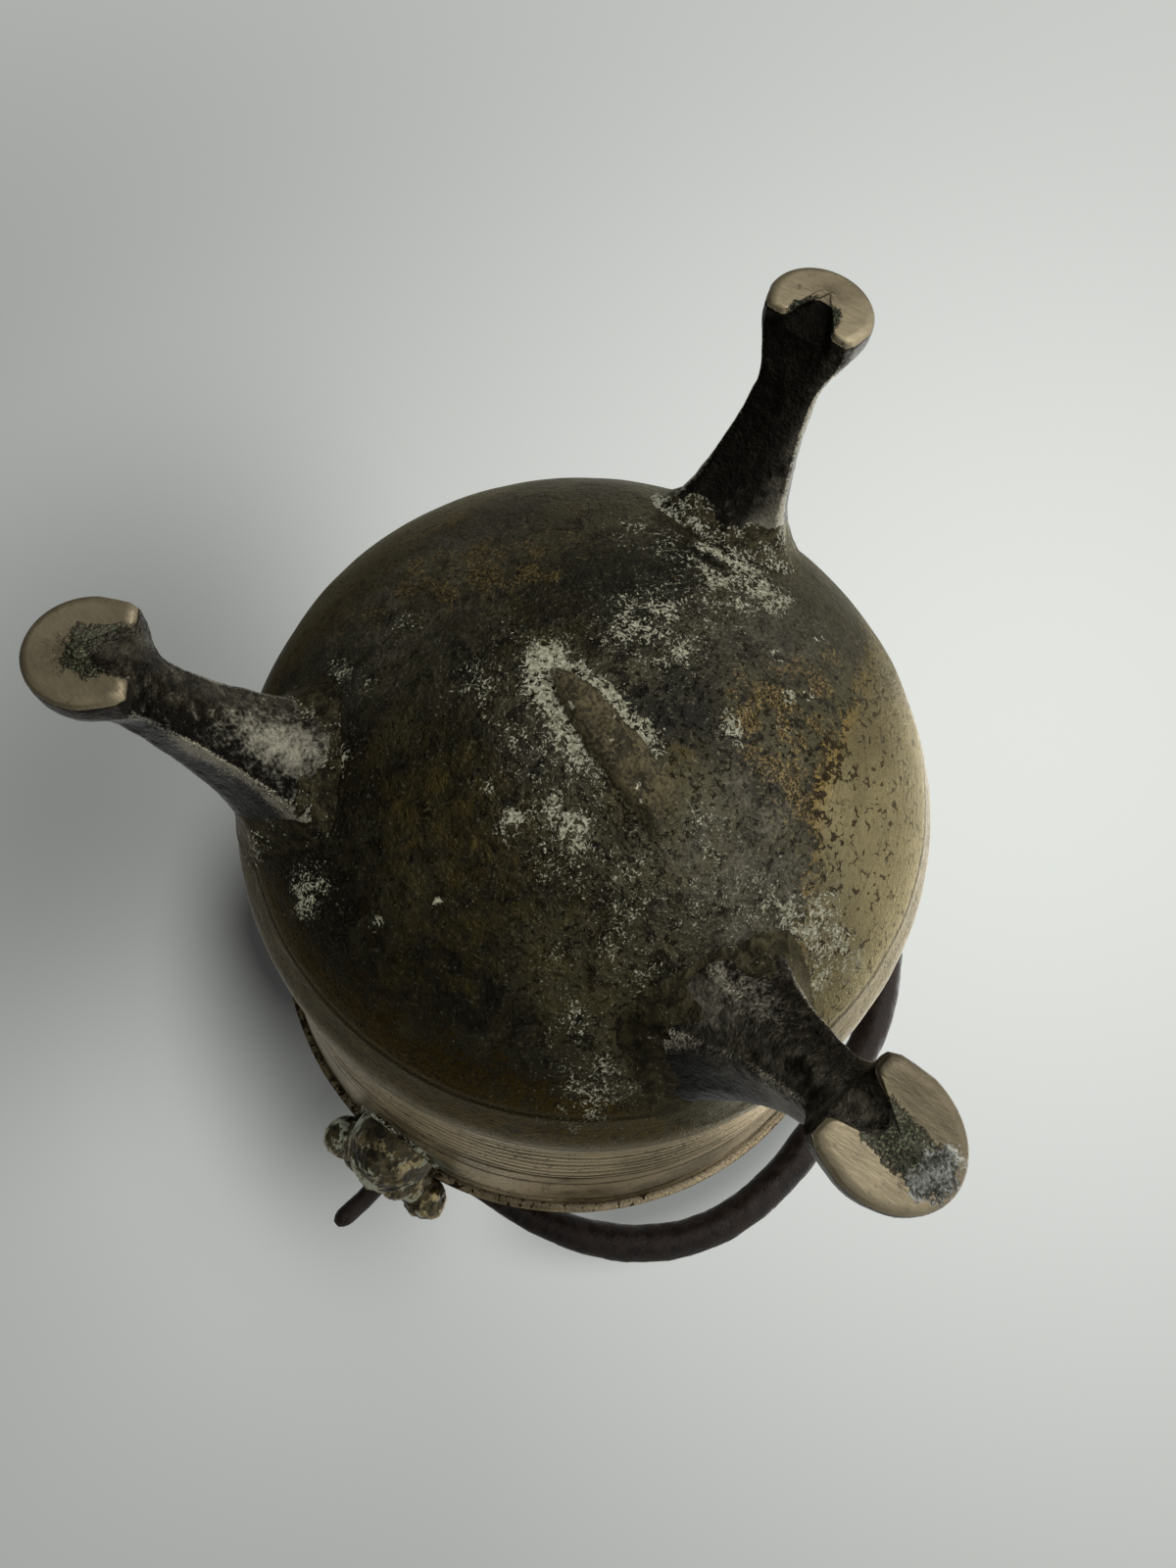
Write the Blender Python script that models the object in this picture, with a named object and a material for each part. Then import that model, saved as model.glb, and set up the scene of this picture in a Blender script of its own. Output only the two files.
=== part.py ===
"""Brass tripod cauldron with a forged iron bail, modelled upright on its three feet.

Metres, +Z up. The origin is on the bowl's axis, on the floor that the soles stand on.
The bail hinges about X, through both lugs, and at rest lies level over the front, -Y.
"""
import math

import bmesh
import bpy
from mathutils import Matrix, Vector

# Bowl
BELLY_RADIUS = 0.0738
BELLY_HEIGHT = 0.0640       # floor to where the dome meets the wall
DOME_DEPTH = 0.0470
DOME_ROUNDNESS = 1.8        # exponent of the dome's curve, 2 is an ellipse
WALL_HEIGHT = 0.1170        # belly to the rim's top
WALL_THICKNESS = 0.0030
WALL_CURVE = 1.35           # exponent of the flare, 1 is a straight cone
RIM_RADIUS = 0.0862
RIM_BAND_HEIGHT = 0.0080
RIM_BAND_PROUD = 0.0010
RIM_EDGE_ROUND = 0.0010

# Turned reeds round the foot of the wall
BELLY_STRAIGHT = 0.0120      # upright stretch of the wall before its flare begins
REED_COUNT = 9
REED_PITCH = 0.0064
REED_DEPTH = 0.0009
REED_CREST = 0.55           # crest of a reed as a share of the pitch

# Scar where the casting gate was cut off the base
GATE_LENGTH = 0.0330
GATE_WIDTH = 0.0085
GATE_PROUD = 0.0014
GATE_OFFSET = 0.0064        # scar's middle from the bowl's axis, along the scar
GATE_SIDE = 0.0027          # and across it
GATE_ANGLE = 287.0          # degrees
GATE_DRAFT = 0.80           # outline of the scar's top as a share of its foot's
GATE_POINT = 0.80           # exponent of the lens's outline, 1 is a parabola
GATE_TIP = 0.0008           # width of its two blunt ends
GATE_SINK = 0.0021          # scar's foot inside the wall

# Legs: angle of the sole, the root's sideways shift and reach, and the sole's reach, width, length and twist
LEGS = {
    "front_right": {"angle": 295.4, "shift": 0.0030, "root": 0.0525,
                    "reach": 0.0866, "width": 0.0214, "length": 0.0200, "twist": -14.0},
    "back_right": {"angle": 54.7, "shift": -0.0055, "root": 0.0525,
                   "reach": 0.0848, "width": 0.0206, "length": 0.0180, "twist": 0.0},
    "left": {"angle": 174.0, "shift": 0.0000, "root": 0.0560,
             "reach": 0.0858, "width": 0.0212, "length": 0.0146, "twist": 4.0},
}
HOOF_HEIGHT = 0.0030
SOLE_CORNER = 0.80          # straight inner edge as a share of the sole's width
SOLE_SHOULDER = 0.20        # where the sides reach nearly full width, as a share of the sole's length
SOLE_WAIST = 0.36           # where the round back begins, as a share of the sole's length
SOLE_SIDE = 0.94            # width at the shoulder as a share of full width
NOTCH_WIDTH = 0.0075
NOTCH_DEPTH = 0.0085        # how far the notch runs into the sole from its inner edge
ANKLE_HEIGHT = 0.0150
ANKLE_REACH = 0.0790        # ankle's middle from the bowl's axis
ANKLE_WIDTH = 0.0122
ANKLE_THICKNESS = 0.0110
KNEE_HEIGHT = 0.0330
KNEE_SHARE = 0.46           # knee's reach on the way from the ankle to the root
KNEE_WIDTH = 0.0172
KNEE_THICKNESS = 0.0170
ROOT_HEIGHT = 0.0500        # the root's last ring lies inside the bowl, which trims it
ROOT_WIDTH = 0.0240
ROOT_THICKNESS = 0.0280
ROOT_LEAN = 38.0            # degrees that the leg leans in at its root
ANKLE_LEAN = 24.7           # degrees
SHANK_CROWN = 0.03          # swell of the inner face as a share of the thickness
SHANK_SIDE = 0.30           # depth of the plain sides as a share of the thickness
SHANK_TAPER = 0.97          # width at the sides' back edge as a share of full width
SHANK_BACK = 0.10           # middle of the round back, as a share of the thickness behind the leg's middle
SHANK_BACK_WIDTH = 0.86     # width of the round back as a share of full width

# Brazing metal round the legs and lugs
COLLAR_WIDTH = 0.0026
COLLAR_RISE = 0.0026
SEAM_WIDTH = 0.0020
SEAM_RISE = 0.0016
SEAM_DROP = 0.0012          # rim's top to the seam's top ends

# Bail
BAIL_ROD_RADIUS = 0.0052
BAIL_DEPTH = 0.0965         # hinge axis to the middle of the bow
BAIL_SQUARENESS = 2.7       # exponent of the bow's curve, 2 is an ellipse
BAIL_TAPER_REACH = 0.0724   # distance from the hinge at which the rod has its full thickness
PIN_RADIUS = 0.0030
PIN_BEND_RADIUS = 0.0060
PIN_TIP_LENGTH = 0.0120     # bent tip outside the lug
PIN_TIP_ANGLE = -14.0       # degrees, away from the bow
PIN_TIP_ROUND = 0.75        # radius of the tip's end as a share of the pin's

# Lugs
EYE_PLATE_WIDTH = 0.0172
EYE_PLATE_THICKNESS = 0.0105
EYE_PLATE_DROP = 0.0220     # hinge axis to the plate's foot
EYE_PLATE_OVERHANG = 0.0022  # how far the plate reaches in over the rim
LUG_DROP = 0.0400           # hinge axis to the tail's end
BOSS_WIDTH = 0.0240
BOSS_PROUD = 0.0105         # boss's front beyond the rim
BOSS_SINK = 0.0026          # boss's middle inside the rim's radius
LOBE_RADIUS = 0.0060
LOBE_HEIGHT = 0.0066        # lobe's half height
LOBE_SPREAD = 0.0280        # distance between the two lobes' middles
LOBE_DROP = 0.0100
SHOULDER_PROUD = 0.0102     # shoulder bar's front beyond the rim
SHOULDER_DEPTH = 0.0065     # its half depth
SHOULDER_LENGTH = 0.0328
SHOULDER_HEIGHT = 0.0057    # its half height
SHOULDER_DROP = 0.0118

# Clearances
JOINT_GAP = 0.0003          # between pieces that touch
EYE_CLEARANCE = 0.0011
RIM_CLEARANCE = 0.0004      # bail over the rim
ARM_CLEARANCE = 0.0012      # bail's arm beside the eye plate

# Mesh density
TURN_STEPS = 60
ROD_SIDES = 12

# Derived places
RIM_HEIGHT = BELLY_HEIGHT + WALL_HEIGHT
WALL_FOOT = BELLY_HEIGHT + BELLY_STRAIGHT
REED_TOP = BELLY_HEIGHT + REED_COUNT * REED_PITCH
BAND_FOOT = RIM_HEIGHT - RIM_BAND_HEIGHT
WALL_TOP_RADIUS = RIM_RADIUS - RIM_BAND_PROUD
HINGE_HEIGHT = RIM_HEIGHT + BAIL_ROD_RADIUS + RIM_CLEARANCE
EYE_RADIUS = PIN_RADIUS + EYE_CLEARANCE
PLATE_INNER = RIM_RADIUS - EYE_PLATE_OVERHANG
PLATE_OUTER = PLATE_INNER + EYE_PLATE_THICKNESS
BAIL_HALF_SPAN = PLATE_INNER - ARM_CLEARANCE - PIN_RADIUS
LUG_FRONT = RIM_RADIUS + BOSS_PROUD
PIN_END = LUG_FRONT + PIN_RADIUS


def clear_scene():
    for obj in list(bpy.data.objects):
        bpy.data.objects.remove(obj, do_unlink=True)


def make_material(name, colour, roughness, metallic=1.0):
    material = bpy.data.materials.new(name)
    material.use_nodes = True
    shader = material.node_tree.nodes["Principled BSDF"]
    shader.inputs["Base Color"].default_value = (*colour, 1.0)
    shader.inputs["Roughness"].default_value = roughness
    shader.inputs["Metallic"].default_value = metallic
    return material


def add_object(name, bm, material=None, sharp_angle=40.0):
    """Turns a bmesh into a named, smooth-shaded object."""
    bmesh.ops.recalc_face_normals(bm, faces=bm.faces)
    mesh = bpy.data.meshes.new(name)
    bm.to_mesh(mesh)
    bm.free()
    mesh.shade_smooth()
    mesh.set_sharp_from_angle(angle=math.radians(sharp_angle))
    if material:
        mesh.materials.append(material)
    obj = bpy.data.objects.new(name, mesh)
    bpy.context.collection.objects.link(obj)
    return obj


def as_cutter(obj):
    obj.hide_render = True
    obj.display_type = "WIRE"
    return obj


def add_boolean(obj, other, operation):
    modifier = obj.modifiers.new(f"{operation.lower()} {other.name}", "BOOLEAN")
    modifier.operation = operation
    modifier.object = other


def turn_profile(name, profile, material=None):
    """Spins a profile of (radius, height) points round Z; points on the axis close it."""
    bm = bmesh.new()
    verts = [bm.verts.new((radius, 0.0, height)) for radius, height in profile]
    edges = [bm.edges.new(pair) for pair in zip(verts, verts[1:])]
    bmesh.ops.spin(bm, geom=verts + edges, cent=(0, 0, 0), axis=(0, 0, 1),
                   angle=2 * math.pi, steps=TURN_STEPS, use_merge=True)
    bmesh.ops.remove_doubles(bm, verts=bm.verts, dist=1e-6)
    return add_object(name, bm, material)


def loft(name, rings, material=None):
    """Skins a list of closed rings and caps both ends."""
    bm = bmesh.new()
    loops = [[bm.verts.new(point) for point in ring] for ring in rings]
    count = len(rings[0])
    for lower, upper in zip(loops, loops[1:]):
        for i in range(count):
            j = (i + 1) % count
            bm.faces.new((lower[i], lower[j], upper[j], upper[i]))
    bm.faces.new(list(reversed(loops[0])))
    bm.faces.new(loops[-1])
    return add_object(name, bm, material)


def smoothstep(t):
    t = min(max(t, 0.0), 1.0)
    return t * t * (3 - 2 * t)


# Bowl


def dome_points(radius, depth, steps):
    """Dome from its lowest point, on the axis, out to the belly."""
    power = 2 / DOME_ROUNDNESS
    points = []
    for i in range(steps + 1):
        angle = i / steps * math.pi / 2
        rise = depth * (1 - math.cos(angle) ** power)
        points.append((radius * math.sin(angle) ** power, BELLY_HEIGHT - depth + rise))
    points[0] = (0.0, points[0][1])
    points[-1] = (radius, BELLY_HEIGHT)
    return points


def wall_radius(height):
    """Outer radius of the flared wall at a height."""
    share = max(0.0, (height - WALL_FOOT) / (RIM_HEIGHT - WALL_FOOT))
    return BELLY_RADIUS + (WALL_TOP_RADIUS - BELLY_RADIUS) * share ** WALL_CURVE


def outer_profile(grow=0.0):
    """Outside of the bowl from the base's middle to the rim's outer edge, grown by an offset."""
    points = dome_points(BELLY_RADIUS + grow, DOME_DEPTH + grow, 12)
    for reed in range(REED_COUNT):
        foot = BELLY_HEIGHT + reed * REED_PITCH
        for share in ((1 - REED_CREST) / 2, (1 + REED_CREST) / 2):
            height = foot + REED_PITCH * share
            points.append((wall_radius(height) + grow, height))
        height = foot + REED_PITCH
        points.append((wall_radius(height) + grow - REED_DEPTH, height))
    wall_steps = 4
    for i in range(1, wall_steps + 1):
        height = REED_TOP + (BAND_FOOT - REED_TOP) * i / wall_steps
        points.append((wall_radius(height) + grow, height))
    points.append((RIM_RADIUS + grow, BAND_FOOT + RIM_BAND_PROUD))
    return points


def outer_solid(name, grow, top):
    """The bowl's outside as one solid block up to a height, used to trim what sits on it."""
    profile = [point for point in outer_profile(grow) if point[1] < top]
    profile.append((RIM_RADIUS + grow, top))
    profile.append((0.0, top))
    return as_cutter(turn_profile(name, profile))


def make_bowl(material):
    profile = outer_profile()
    profile.append((RIM_RADIUS, RIM_HEIGHT - RIM_EDGE_ROUND))
    profile.append((RIM_RADIUS - RIM_EDGE_ROUND, RIM_HEIGHT))
    inner_rim = WALL_TOP_RADIUS - WALL_THICKNESS
    profile.append((inner_rim + RIM_EDGE_ROUND, RIM_HEIGHT))
    profile.append((inner_rim, RIM_HEIGHT - RIM_EDGE_ROUND))
    wall_steps = 5
    for i in range(1, wall_steps):
        height = RIM_HEIGHT - (RIM_HEIGHT - WALL_FOOT) * i / wall_steps
        profile.append((wall_radius(height) - WALL_THICKNESS, height))
    profile.append((BELLY_RADIUS - WALL_THICKNESS, WALL_FOOT))
    profile += reversed(dome_points(BELLY_RADIUS - WALL_THICKNESS, DOME_DEPTH - WALL_THICKNESS, 9))
    bowl = turn_profile("bowl", profile, material)
    add_boolean(bowl, make_gate_scar(), "UNION")
    return bowl


def dome_height(radius):
    """Height of the dome's outside at a radius."""
    share = 1 - (radius / BELLY_RADIUS) ** DOME_ROUNDNESS
    return BELLY_HEIGHT - DOME_DEPTH * share ** (1 / DOME_ROUNDNESS)


def make_gate_scar():
    """Lens-shaped stump of the casting gate, which follows the dome and stands just proud of it."""
    steps = 12
    edge = ((GATE_SINK, 1.0), (0.0, 1.0), (-GATE_PROUD, GATE_DRAFT))
    section = [(rise, share, 1) for rise, share in edge]
    section += [(rise, share, -1) for rise, share in reversed(edge)]
    rings = []
    for i in range(steps + 1):
        along = 2 * i / steps - 1
        half = max(GATE_WIDTH * (1 - along ** 2) ** GATE_POINT, GATE_TIP) / 2
        ring = []
        for rise, share, side in section:
            x = GATE_OFFSET + share * along * GATE_LENGTH / 2
            y = GATE_SIDE + share * side * half
            ring.append((x, y, dome_height(math.hypot(x, y)) + rise))
        rings.append(ring)
    scar = loft("gate_scar", rings)
    scar.rotation_euler.z = math.radians(GATE_ANGLE)
    return as_cutter(scar)


# Legs


def hoof_outline(width, length, notch, twist):
    """Sole seen from above: x runs outwards from the notched inner edge, y sideways."""
    half = width / 2
    inner = -length / 2
    corner = half * SOLE_CORNER
    notch_reach = NOTCH_DEPTH * notch
    points = []
    for i in range(11):
        side = corner * (i / 5 - 1)
        dip = math.exp(-(side / (NOTCH_WIDTH / 2)) ** 4)
        points.append((inner + notch_reach * dip, side))
    neck = inner + length * SOLE_SHOULDER
    waist = inner + length * SOLE_WAIST
    points.append((neck, half * SOLE_SIDE))
    for i in range(13):
        angle = math.pi / 2 - i / 12 * math.pi
        points.append((waist + (length / 2 - waist) * math.cos(angle), half * math.sin(angle)))
    points.append((neck, -half * SOLE_SIDE))
    turn = Matrix.Rotation(math.radians(twist), 2)
    return [turn @ Vector(point) for point in points]


def shank_outline(width, thickness):
    """Leg's section: broad flat inner face, plain sides and a rounded back."""
    half = width / 2
    inner = -thickness / 2
    points = []
    for i in range(11):
        side = half * (i / 5 - 1)
        points.append((inner - thickness * SHANK_CROWN * (1 - (side / half) ** 2), side))
    edge = inner + thickness * SHANK_SIDE
    points.append((edge, half * SHANK_TAPER))
    back = thickness * SHANK_BACK
    back_half = half * SHANK_BACK_WIDTH
    for i in range(13):
        angle = math.pi / 2 - i / 12 * math.pi
        points.append((back + (thickness / 2 - back) * math.cos(angle), back_half * math.sin(angle)))
    points.append((edge, -half * SHANK_TAPER))
    return points


def leg_keys(leg):
    """Rows of height, reach, lean, width and thickness from the sole up to the root."""
    knee_reach = ANKLE_REACH + (leg["root"] - ANKLE_REACH) * KNEE_SHARE
    return [
        (0.0, leg["reach"], 0.0, leg["width"], leg["length"]),
        (HOOF_HEIGHT, leg["reach"], 0.0, leg["width"], leg["length"]),
        (ANKLE_HEIGHT, ANKLE_REACH, ANKLE_LEAN, ANKLE_WIDTH, ANKLE_THICKNESS),
        (KNEE_HEIGHT, knee_reach, ROOT_LEAN, KNEE_WIDTH, KNEE_THICKNESS),
        (ROOT_HEIGHT, leg["root"], ROOT_LEAN, ROOT_WIDTH, ROOT_THICKNESS),
    ]


def leg_rings(leg, grow=0.0):
    """Rings of the leg in its own frame: x outwards, y sideways, z up."""
    rows = leg_keys(leg)
    stops = []
    for row, steps in enumerate((1, 4, 3, 3)):
        last_step = 1 if row == 3 else 0
        for step in range(steps + last_step):
            share = step / steps
            ease = smoothstep(share) if row == 1 else share
            low, high = rows[row], rows[row + 1]
            values = [a + (b - a) * ease for a, b in zip(low, high)]
            values[0] = low[0] + (high[0] - low[0]) * share
            hoof = 1.0 if row == 0 else (1.0 - ease if row == 1 else 0.0)
            stops.append((values, hoof))
    rings = []
    for (height, reach, lean, width, thickness), hoof in stops:
        sole = hoof_outline(width + 2 * grow, thickness + 2 * grow, hoof ** 2, leg["twist"])
        shank = shank_outline(width + 2 * grow, thickness + 2 * grow)
        slope = math.radians(lean)
        shift = leg["shift"] * min(1.0, max(0.0, height / ROOT_HEIGHT))
        ring = []
        for (sx, sy), (tx, ty) in zip(sole, shank):
            out = sx * hoof + tx * (1 - hoof)
            side = sy * hoof + ty * (1 - hoof)
            ring.append((reach + out * math.cos(slope), side + shift, height + out * math.sin(slope)))
        rings.append(ring)
    return rings


def make_leg(name, leg, bowl_block, collar_block, metal, braze):
    """One leg trimmed to the dome, and the collar of brazing metal round its root."""
    shank = loft(f"leg_{name}", leg_rings(leg), metal)
    core = as_cutter(loft(f"leg_core_{name}", leg_rings(leg, JOINT_GAP)[3:]))
    collar = loft(f"leg_braze_{name}", leg_rings(leg, COLLAR_WIDTH)[4:], braze)
    for obj in (shank, core, collar):
        obj.rotation_euler.z = math.radians(leg["angle"])
    add_boolean(shank, bowl_block, "DIFFERENCE")
    add_boolean(collar, collar_block, "INTERSECT")
    add_boolean(collar, core, "DIFFERENCE")
    add_boolean(collar, bowl_block, "DIFFERENCE")


# Lugs


def ellipsoid(name, centre, radii, segments=16, rings=10):
    bm = bmesh.new()
    bmesh.ops.create_uvsphere(bm, u_segments=segments, v_segments=rings, radius=1.0)
    bmesh.ops.scale(bm, vec=radii, verts=bm.verts)
    bmesh.ops.translate(bm, vec=centre, verts=bm.verts)
    return add_object(name, bm)


def cylinder_along_x(name, radius, x_from, x_to, height, sides=24):
    bm = bmesh.new()
    bmesh.ops.create_cone(bm, cap_ends=True, segments=sides, radius1=radius, radius2=radius,
                          depth=x_to - x_from)
    bmesh.ops.rotate(bm, cent=(0, 0, 0), matrix=Matrix.Rotation(math.pi / 2, 3, "Y"), verts=bm.verts)
    bmesh.ops.translate(bm, vec=((x_from + x_to) / 2, 0, height), verts=bm.verts)
    return add_object(name, bm)


def eye_plate(name, grow=0.0):
    """Upright plate with a round head about the hinge axis, for a lug at +X."""
    half = EYE_PLATE_WIDTH / 2 + grow
    outline = []
    for i in range(17):
        angle = i / 16 * math.pi
        outline.append((half * math.cos(angle), half * math.sin(angle)))
    foot = -(EYE_PLATE_DROP + grow)
    outline.append((-half, foot))
    outline.append((half, foot))
    rings = []
    for x in (PLATE_INNER - grow, PLATE_OUTER + grow):
        rings.append([(x, side, HINGE_HEIGHT + rise) for side, rise in outline])
    return loft(name, rings)


def boss(name, grow=0.0):
    """Swelling below the eye that tapers down the wall to the tail."""
    top = HINGE_HEIGHT - EYE_RADIUS - PIN_RADIUS
    tail = HINGE_HEIGHT - LUG_DROP
    centre = (RIM_RADIUS - BOSS_SINK, 0.0, (top + tail) / 2)
    radii = (BOSS_PROUD + BOSS_SINK + grow, BOSS_WIDTH / 2 + grow, (top - tail) / 2 + grow)
    return ellipsoid(name, centre, radii)


def lobe(name, side, grow=0.0):
    centre = (RIM_RADIUS + BOSS_PROUD - LOBE_RADIUS, side * LOBE_SPREAD / 2, HINGE_HEIGHT - LOBE_DROP)
    radius = LOBE_RADIUS + grow
    return ellipsoid(name, centre, (radius, radius, LOBE_HEIGHT + grow), 14, 8)


def shoulder(name, grow=0.0):
    """Bar that joins the two lobes to the boss."""
    centre = (RIM_RADIUS + SHOULDER_PROUD - SHOULDER_DEPTH, 0.0, HINGE_HEIGHT - SHOULDER_DROP)
    radii = (SHOULDER_DEPTH + grow, SHOULDER_LENGTH / 2 + grow, SHOULDER_HEIGHT + grow)
    return ellipsoid(name, centre, radii)


def lug_swellings(name, grow=0.0):
    """Rounded parts of a lug, apart from its eye plate."""
    swellings = [boss(f"{name}_boss", grow), shoulder(f"{name}_shoulder", grow),
                 lobe(f"{name}_lobe_a", -1, grow), lobe(f"{name}_lobe_b", 1, grow)]
    return [as_cutter(swelling) for swelling in swellings]


def make_lug(name, turn, bowl_block, seam_block, metal, braze):
    """One lug with its eye, and the seam of brazing metal round its foot."""
    lug = eye_plate(f"lug_{name}")
    lug.data.materials.append(metal)
    swellings = lug_swellings(f"lug_{name}")
    eye = cylinder_along_x(f"lug_{name}_eye", EYE_RADIUS, PLATE_INNER - WALL_THICKNESS,
                           LUG_FRONT + PIN_RADIUS, HINGE_HEIGHT)
    as_cutter(eye)
    core = [as_cutter(eye_plate(f"core_{name}_plate", JOINT_GAP))]
    core += lug_swellings(f"core_{name}", JOINT_GAP)
    seam = boss(f"lug_braze_{name}", SEAM_WIDTH)
    seam.data.materials.append(braze)
    for obj in [lug, eye, seam] + swellings + core:
        obj.rotation_euler.z = turn
    for swelling in swellings:
        add_boolean(lug, swelling, "UNION")
    add_boolean(lug, eye, "DIFFERENCE")
    add_boolean(lug, bowl_block, "DIFFERENCE")
    add_boolean(seam, seam_block, "INTERSECT")
    for cutter in core + [bowl_block]:
        add_boolean(seam, cutter, "DIFFERENCE")


# Bail


def bail_half_path():
    """Points (along the hinge, away from it) from the bent tip to the bow's middle."""
    tip = math.radians(PIN_TIP_ANGLE)
    points = []
    for share in (1.0, 0.94, 0.5, 0.2):
        reach = PIN_TIP_LENGTH * share
        points.append((PIN_END + reach * math.cos(tip), reach * math.sin(tip)))
    points.append((PIN_END - PIN_RADIUS, 0.0))
    bend_centre = BAIL_HALF_SPAN + PIN_BEND_RADIUS
    points.append(((PIN_END + bend_centre) / 2, 0.0))
    for i in range(5):
        angle = i / 4 * math.pi / 2
        points.append((bend_centre - PIN_BEND_RADIUS * math.sin(angle),
                       PIN_BEND_RADIUS * (1 - math.cos(angle))))
    steps = 18
    power = 2 / BAIL_SQUARENESS
    for i in range(1, steps + 1):
        angle = i / steps * math.pi / 2
        along = BAIL_HALF_SPAN * math.cos(angle) ** power if i < steps else 0.0
        away = PIN_BEND_RADIUS + (BAIL_DEPTH - PIN_BEND_RADIUS) * math.sin(angle) ** power
        points.append((along, away))
    return points


def rod_radius(away):
    """Forged taper: slim at the pins, full at the middle of the bow."""
    share = smoothstep(away / BAIL_TAPER_REACH)
    return PIN_RADIUS + (BAIL_ROD_RADIUS - PIN_RADIUS) * share


def make_bail(material):
    half = bail_half_path()
    path = half + [(-along, away) for along, away in reversed(half[:-1])]
    centres = [Vector((along, -away, 0.0)) for along, away in path]
    upward = Vector((0, 0, 1))
    rings = []
    for i, centre in enumerate(centres):
        before = centres[max(i - 1, 0)]
        after = centres[min(i + 1, len(centres) - 1)]
        forward = (after - before).normalized()
        side = upward.cross(forward)
        radius = rod_radius(path[i][1])
        if i in (0, len(centres) - 1):
            radius *= PIN_TIP_ROUND
        ring = []
        for k in range(ROD_SIDES):
            angle = k / ROD_SIDES * 2 * math.pi
            ring.append(centre + radius * (math.cos(angle) * side + math.sin(angle) * upward))
        rings.append(ring)
    bail = loft("bail", rings, material)
    bail.location.z = HINGE_HEIGHT
    return bail


def main():
    clear_scene()
    brass = make_material("bowl_brass", (0.20, 0.16, 0.09), 0.42)
    leg_metal = make_material("leg_bronze", (0.10, 0.085, 0.06), 0.50)
    braze_metal = make_material("braze", (0.24, 0.23, 0.18), 0.70)
    lug_metal = make_material("lug_bronze", (0.16, 0.15, 0.10), 0.55)
    iron = make_material("bail_iron", (0.06, 0.042, 0.038), 0.55)

    make_bowl(brass)
    bowl_block = outer_solid("bowl_block", JOINT_GAP, RIM_HEIGHT + JOINT_GAP)
    collar_block = outer_solid("collar_block", COLLAR_RISE, RIM_HEIGHT)
    seam_block = outer_solid("seam_block", SEAM_RISE, RIM_HEIGHT - SEAM_DROP)

    for name, leg in LEGS.items():
        make_leg(name, leg, bowl_block, collar_block, leg_metal, braze_metal)

    for name, turn in (("right", 0.0), ("left", math.pi)):
        make_lug(name, turn, bowl_block, seam_block, lug_metal, braze_metal)

    make_bail(iron)


main()
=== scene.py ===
"""Looks of the brass tripod cauldron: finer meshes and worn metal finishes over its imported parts."""
import math

import bmesh
import bpy
import numpy as np
from mathutils import Matrix, Vector, noise


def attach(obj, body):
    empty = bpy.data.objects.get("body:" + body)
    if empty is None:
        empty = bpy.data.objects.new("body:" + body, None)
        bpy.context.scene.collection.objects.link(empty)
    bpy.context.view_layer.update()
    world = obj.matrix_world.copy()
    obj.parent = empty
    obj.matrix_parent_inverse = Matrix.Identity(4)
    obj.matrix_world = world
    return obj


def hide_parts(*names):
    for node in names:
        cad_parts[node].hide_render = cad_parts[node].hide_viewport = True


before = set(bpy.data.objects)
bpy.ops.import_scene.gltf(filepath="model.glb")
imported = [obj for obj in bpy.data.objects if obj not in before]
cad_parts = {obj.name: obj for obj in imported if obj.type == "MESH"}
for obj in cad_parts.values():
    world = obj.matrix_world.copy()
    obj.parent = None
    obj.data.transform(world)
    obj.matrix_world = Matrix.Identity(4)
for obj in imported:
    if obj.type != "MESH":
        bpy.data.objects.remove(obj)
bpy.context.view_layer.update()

# Sizes shared with the part, in metres
BELLY_RADIUS = 0.0738
BELLY_HEIGHT = 0.0640
DOME_DEPTH = 0.0470
DOME_ROUNDNESS = 1.8
WALL_HEIGHT = 0.1170
WALL_THICKNESS = 0.0030
WALL_CURVE = 1.35
RIM_RADIUS = 0.0862
RIM_BAND_HEIGHT = 0.0080
RIM_BAND_PROUD = 0.0010
RIM_ROUND = 0.0016
BELLY_STRAIGHT = 0.0120
GATE_PROUD = 0.0014
# Legs: angle of the sole, the root's sideways shift and reach, the sole's reach, width, length and twist,
# and how far the root spreads to one side
LEGS = {
    "front_right": {"angle": 295.4, "shift": 0.0030, "root": 0.0525,
                    "reach": 0.0866, "width": 0.0214, "length": 0.0200, "twist": -14.0, "spread": 0.0050},
    "back_right": {"angle": 54.7, "shift": -0.0055, "root": 0.0525,
                   "reach": 0.0848, "width": 0.0206, "length": 0.0180, "twist": 0.0, "spread": -0.0020},
    "left": {"angle": 174.0, "shift": 0.0000, "root": 0.0560,
             "reach": 0.0858, "width": 0.0212, "length": 0.0146, "twist": 4.0, "spread": 0.0010},
}
HOOF_HEIGHT = 0.0030
NOTCH_WIDTH = 0.0075
NOTCH_DEPTH = 0.0085
ANKLE_HEIGHT = 0.0150
ANKLE_REACH = 0.0790
ANKLE_WIDTH = 0.0122
ANKLE_THICKNESS = 0.0110
ANKLE_LEAN = 24.7
KNEE_HEIGHT = 0.0330
KNEE_SHARE = 0.46
KNEE_WIDTH = 0.0172
KNEE_THICKNESS = 0.0170
ROOT_HEIGHT = 0.0500
ROOT_WIDTH = 0.0240
ROOT_THICKNESS = 0.0280
ROOT_LEAN = 38.0
BAIL_ROD_RADIUS = 0.0052
BAIL_DEPTH = 0.0965
BAIL_SQUARENESS = 2.7
BAIL_TAPER_REACH = 0.0724
PIN_RADIUS = 0.0030
PIN_BEND_RADIUS = 0.0060
PIN_TIP_LENGTH = 0.0120
PIN_TIP_ANGLE = -14.0
EYE_PLATE_WIDTH = 0.0172
EYE_PLATE_THICKNESS = 0.0105
EYE_PLATE_DROP = 0.0220
EYE_RADIUS = 0.0041
HINGE_HEIGHT = 0.1866
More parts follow.
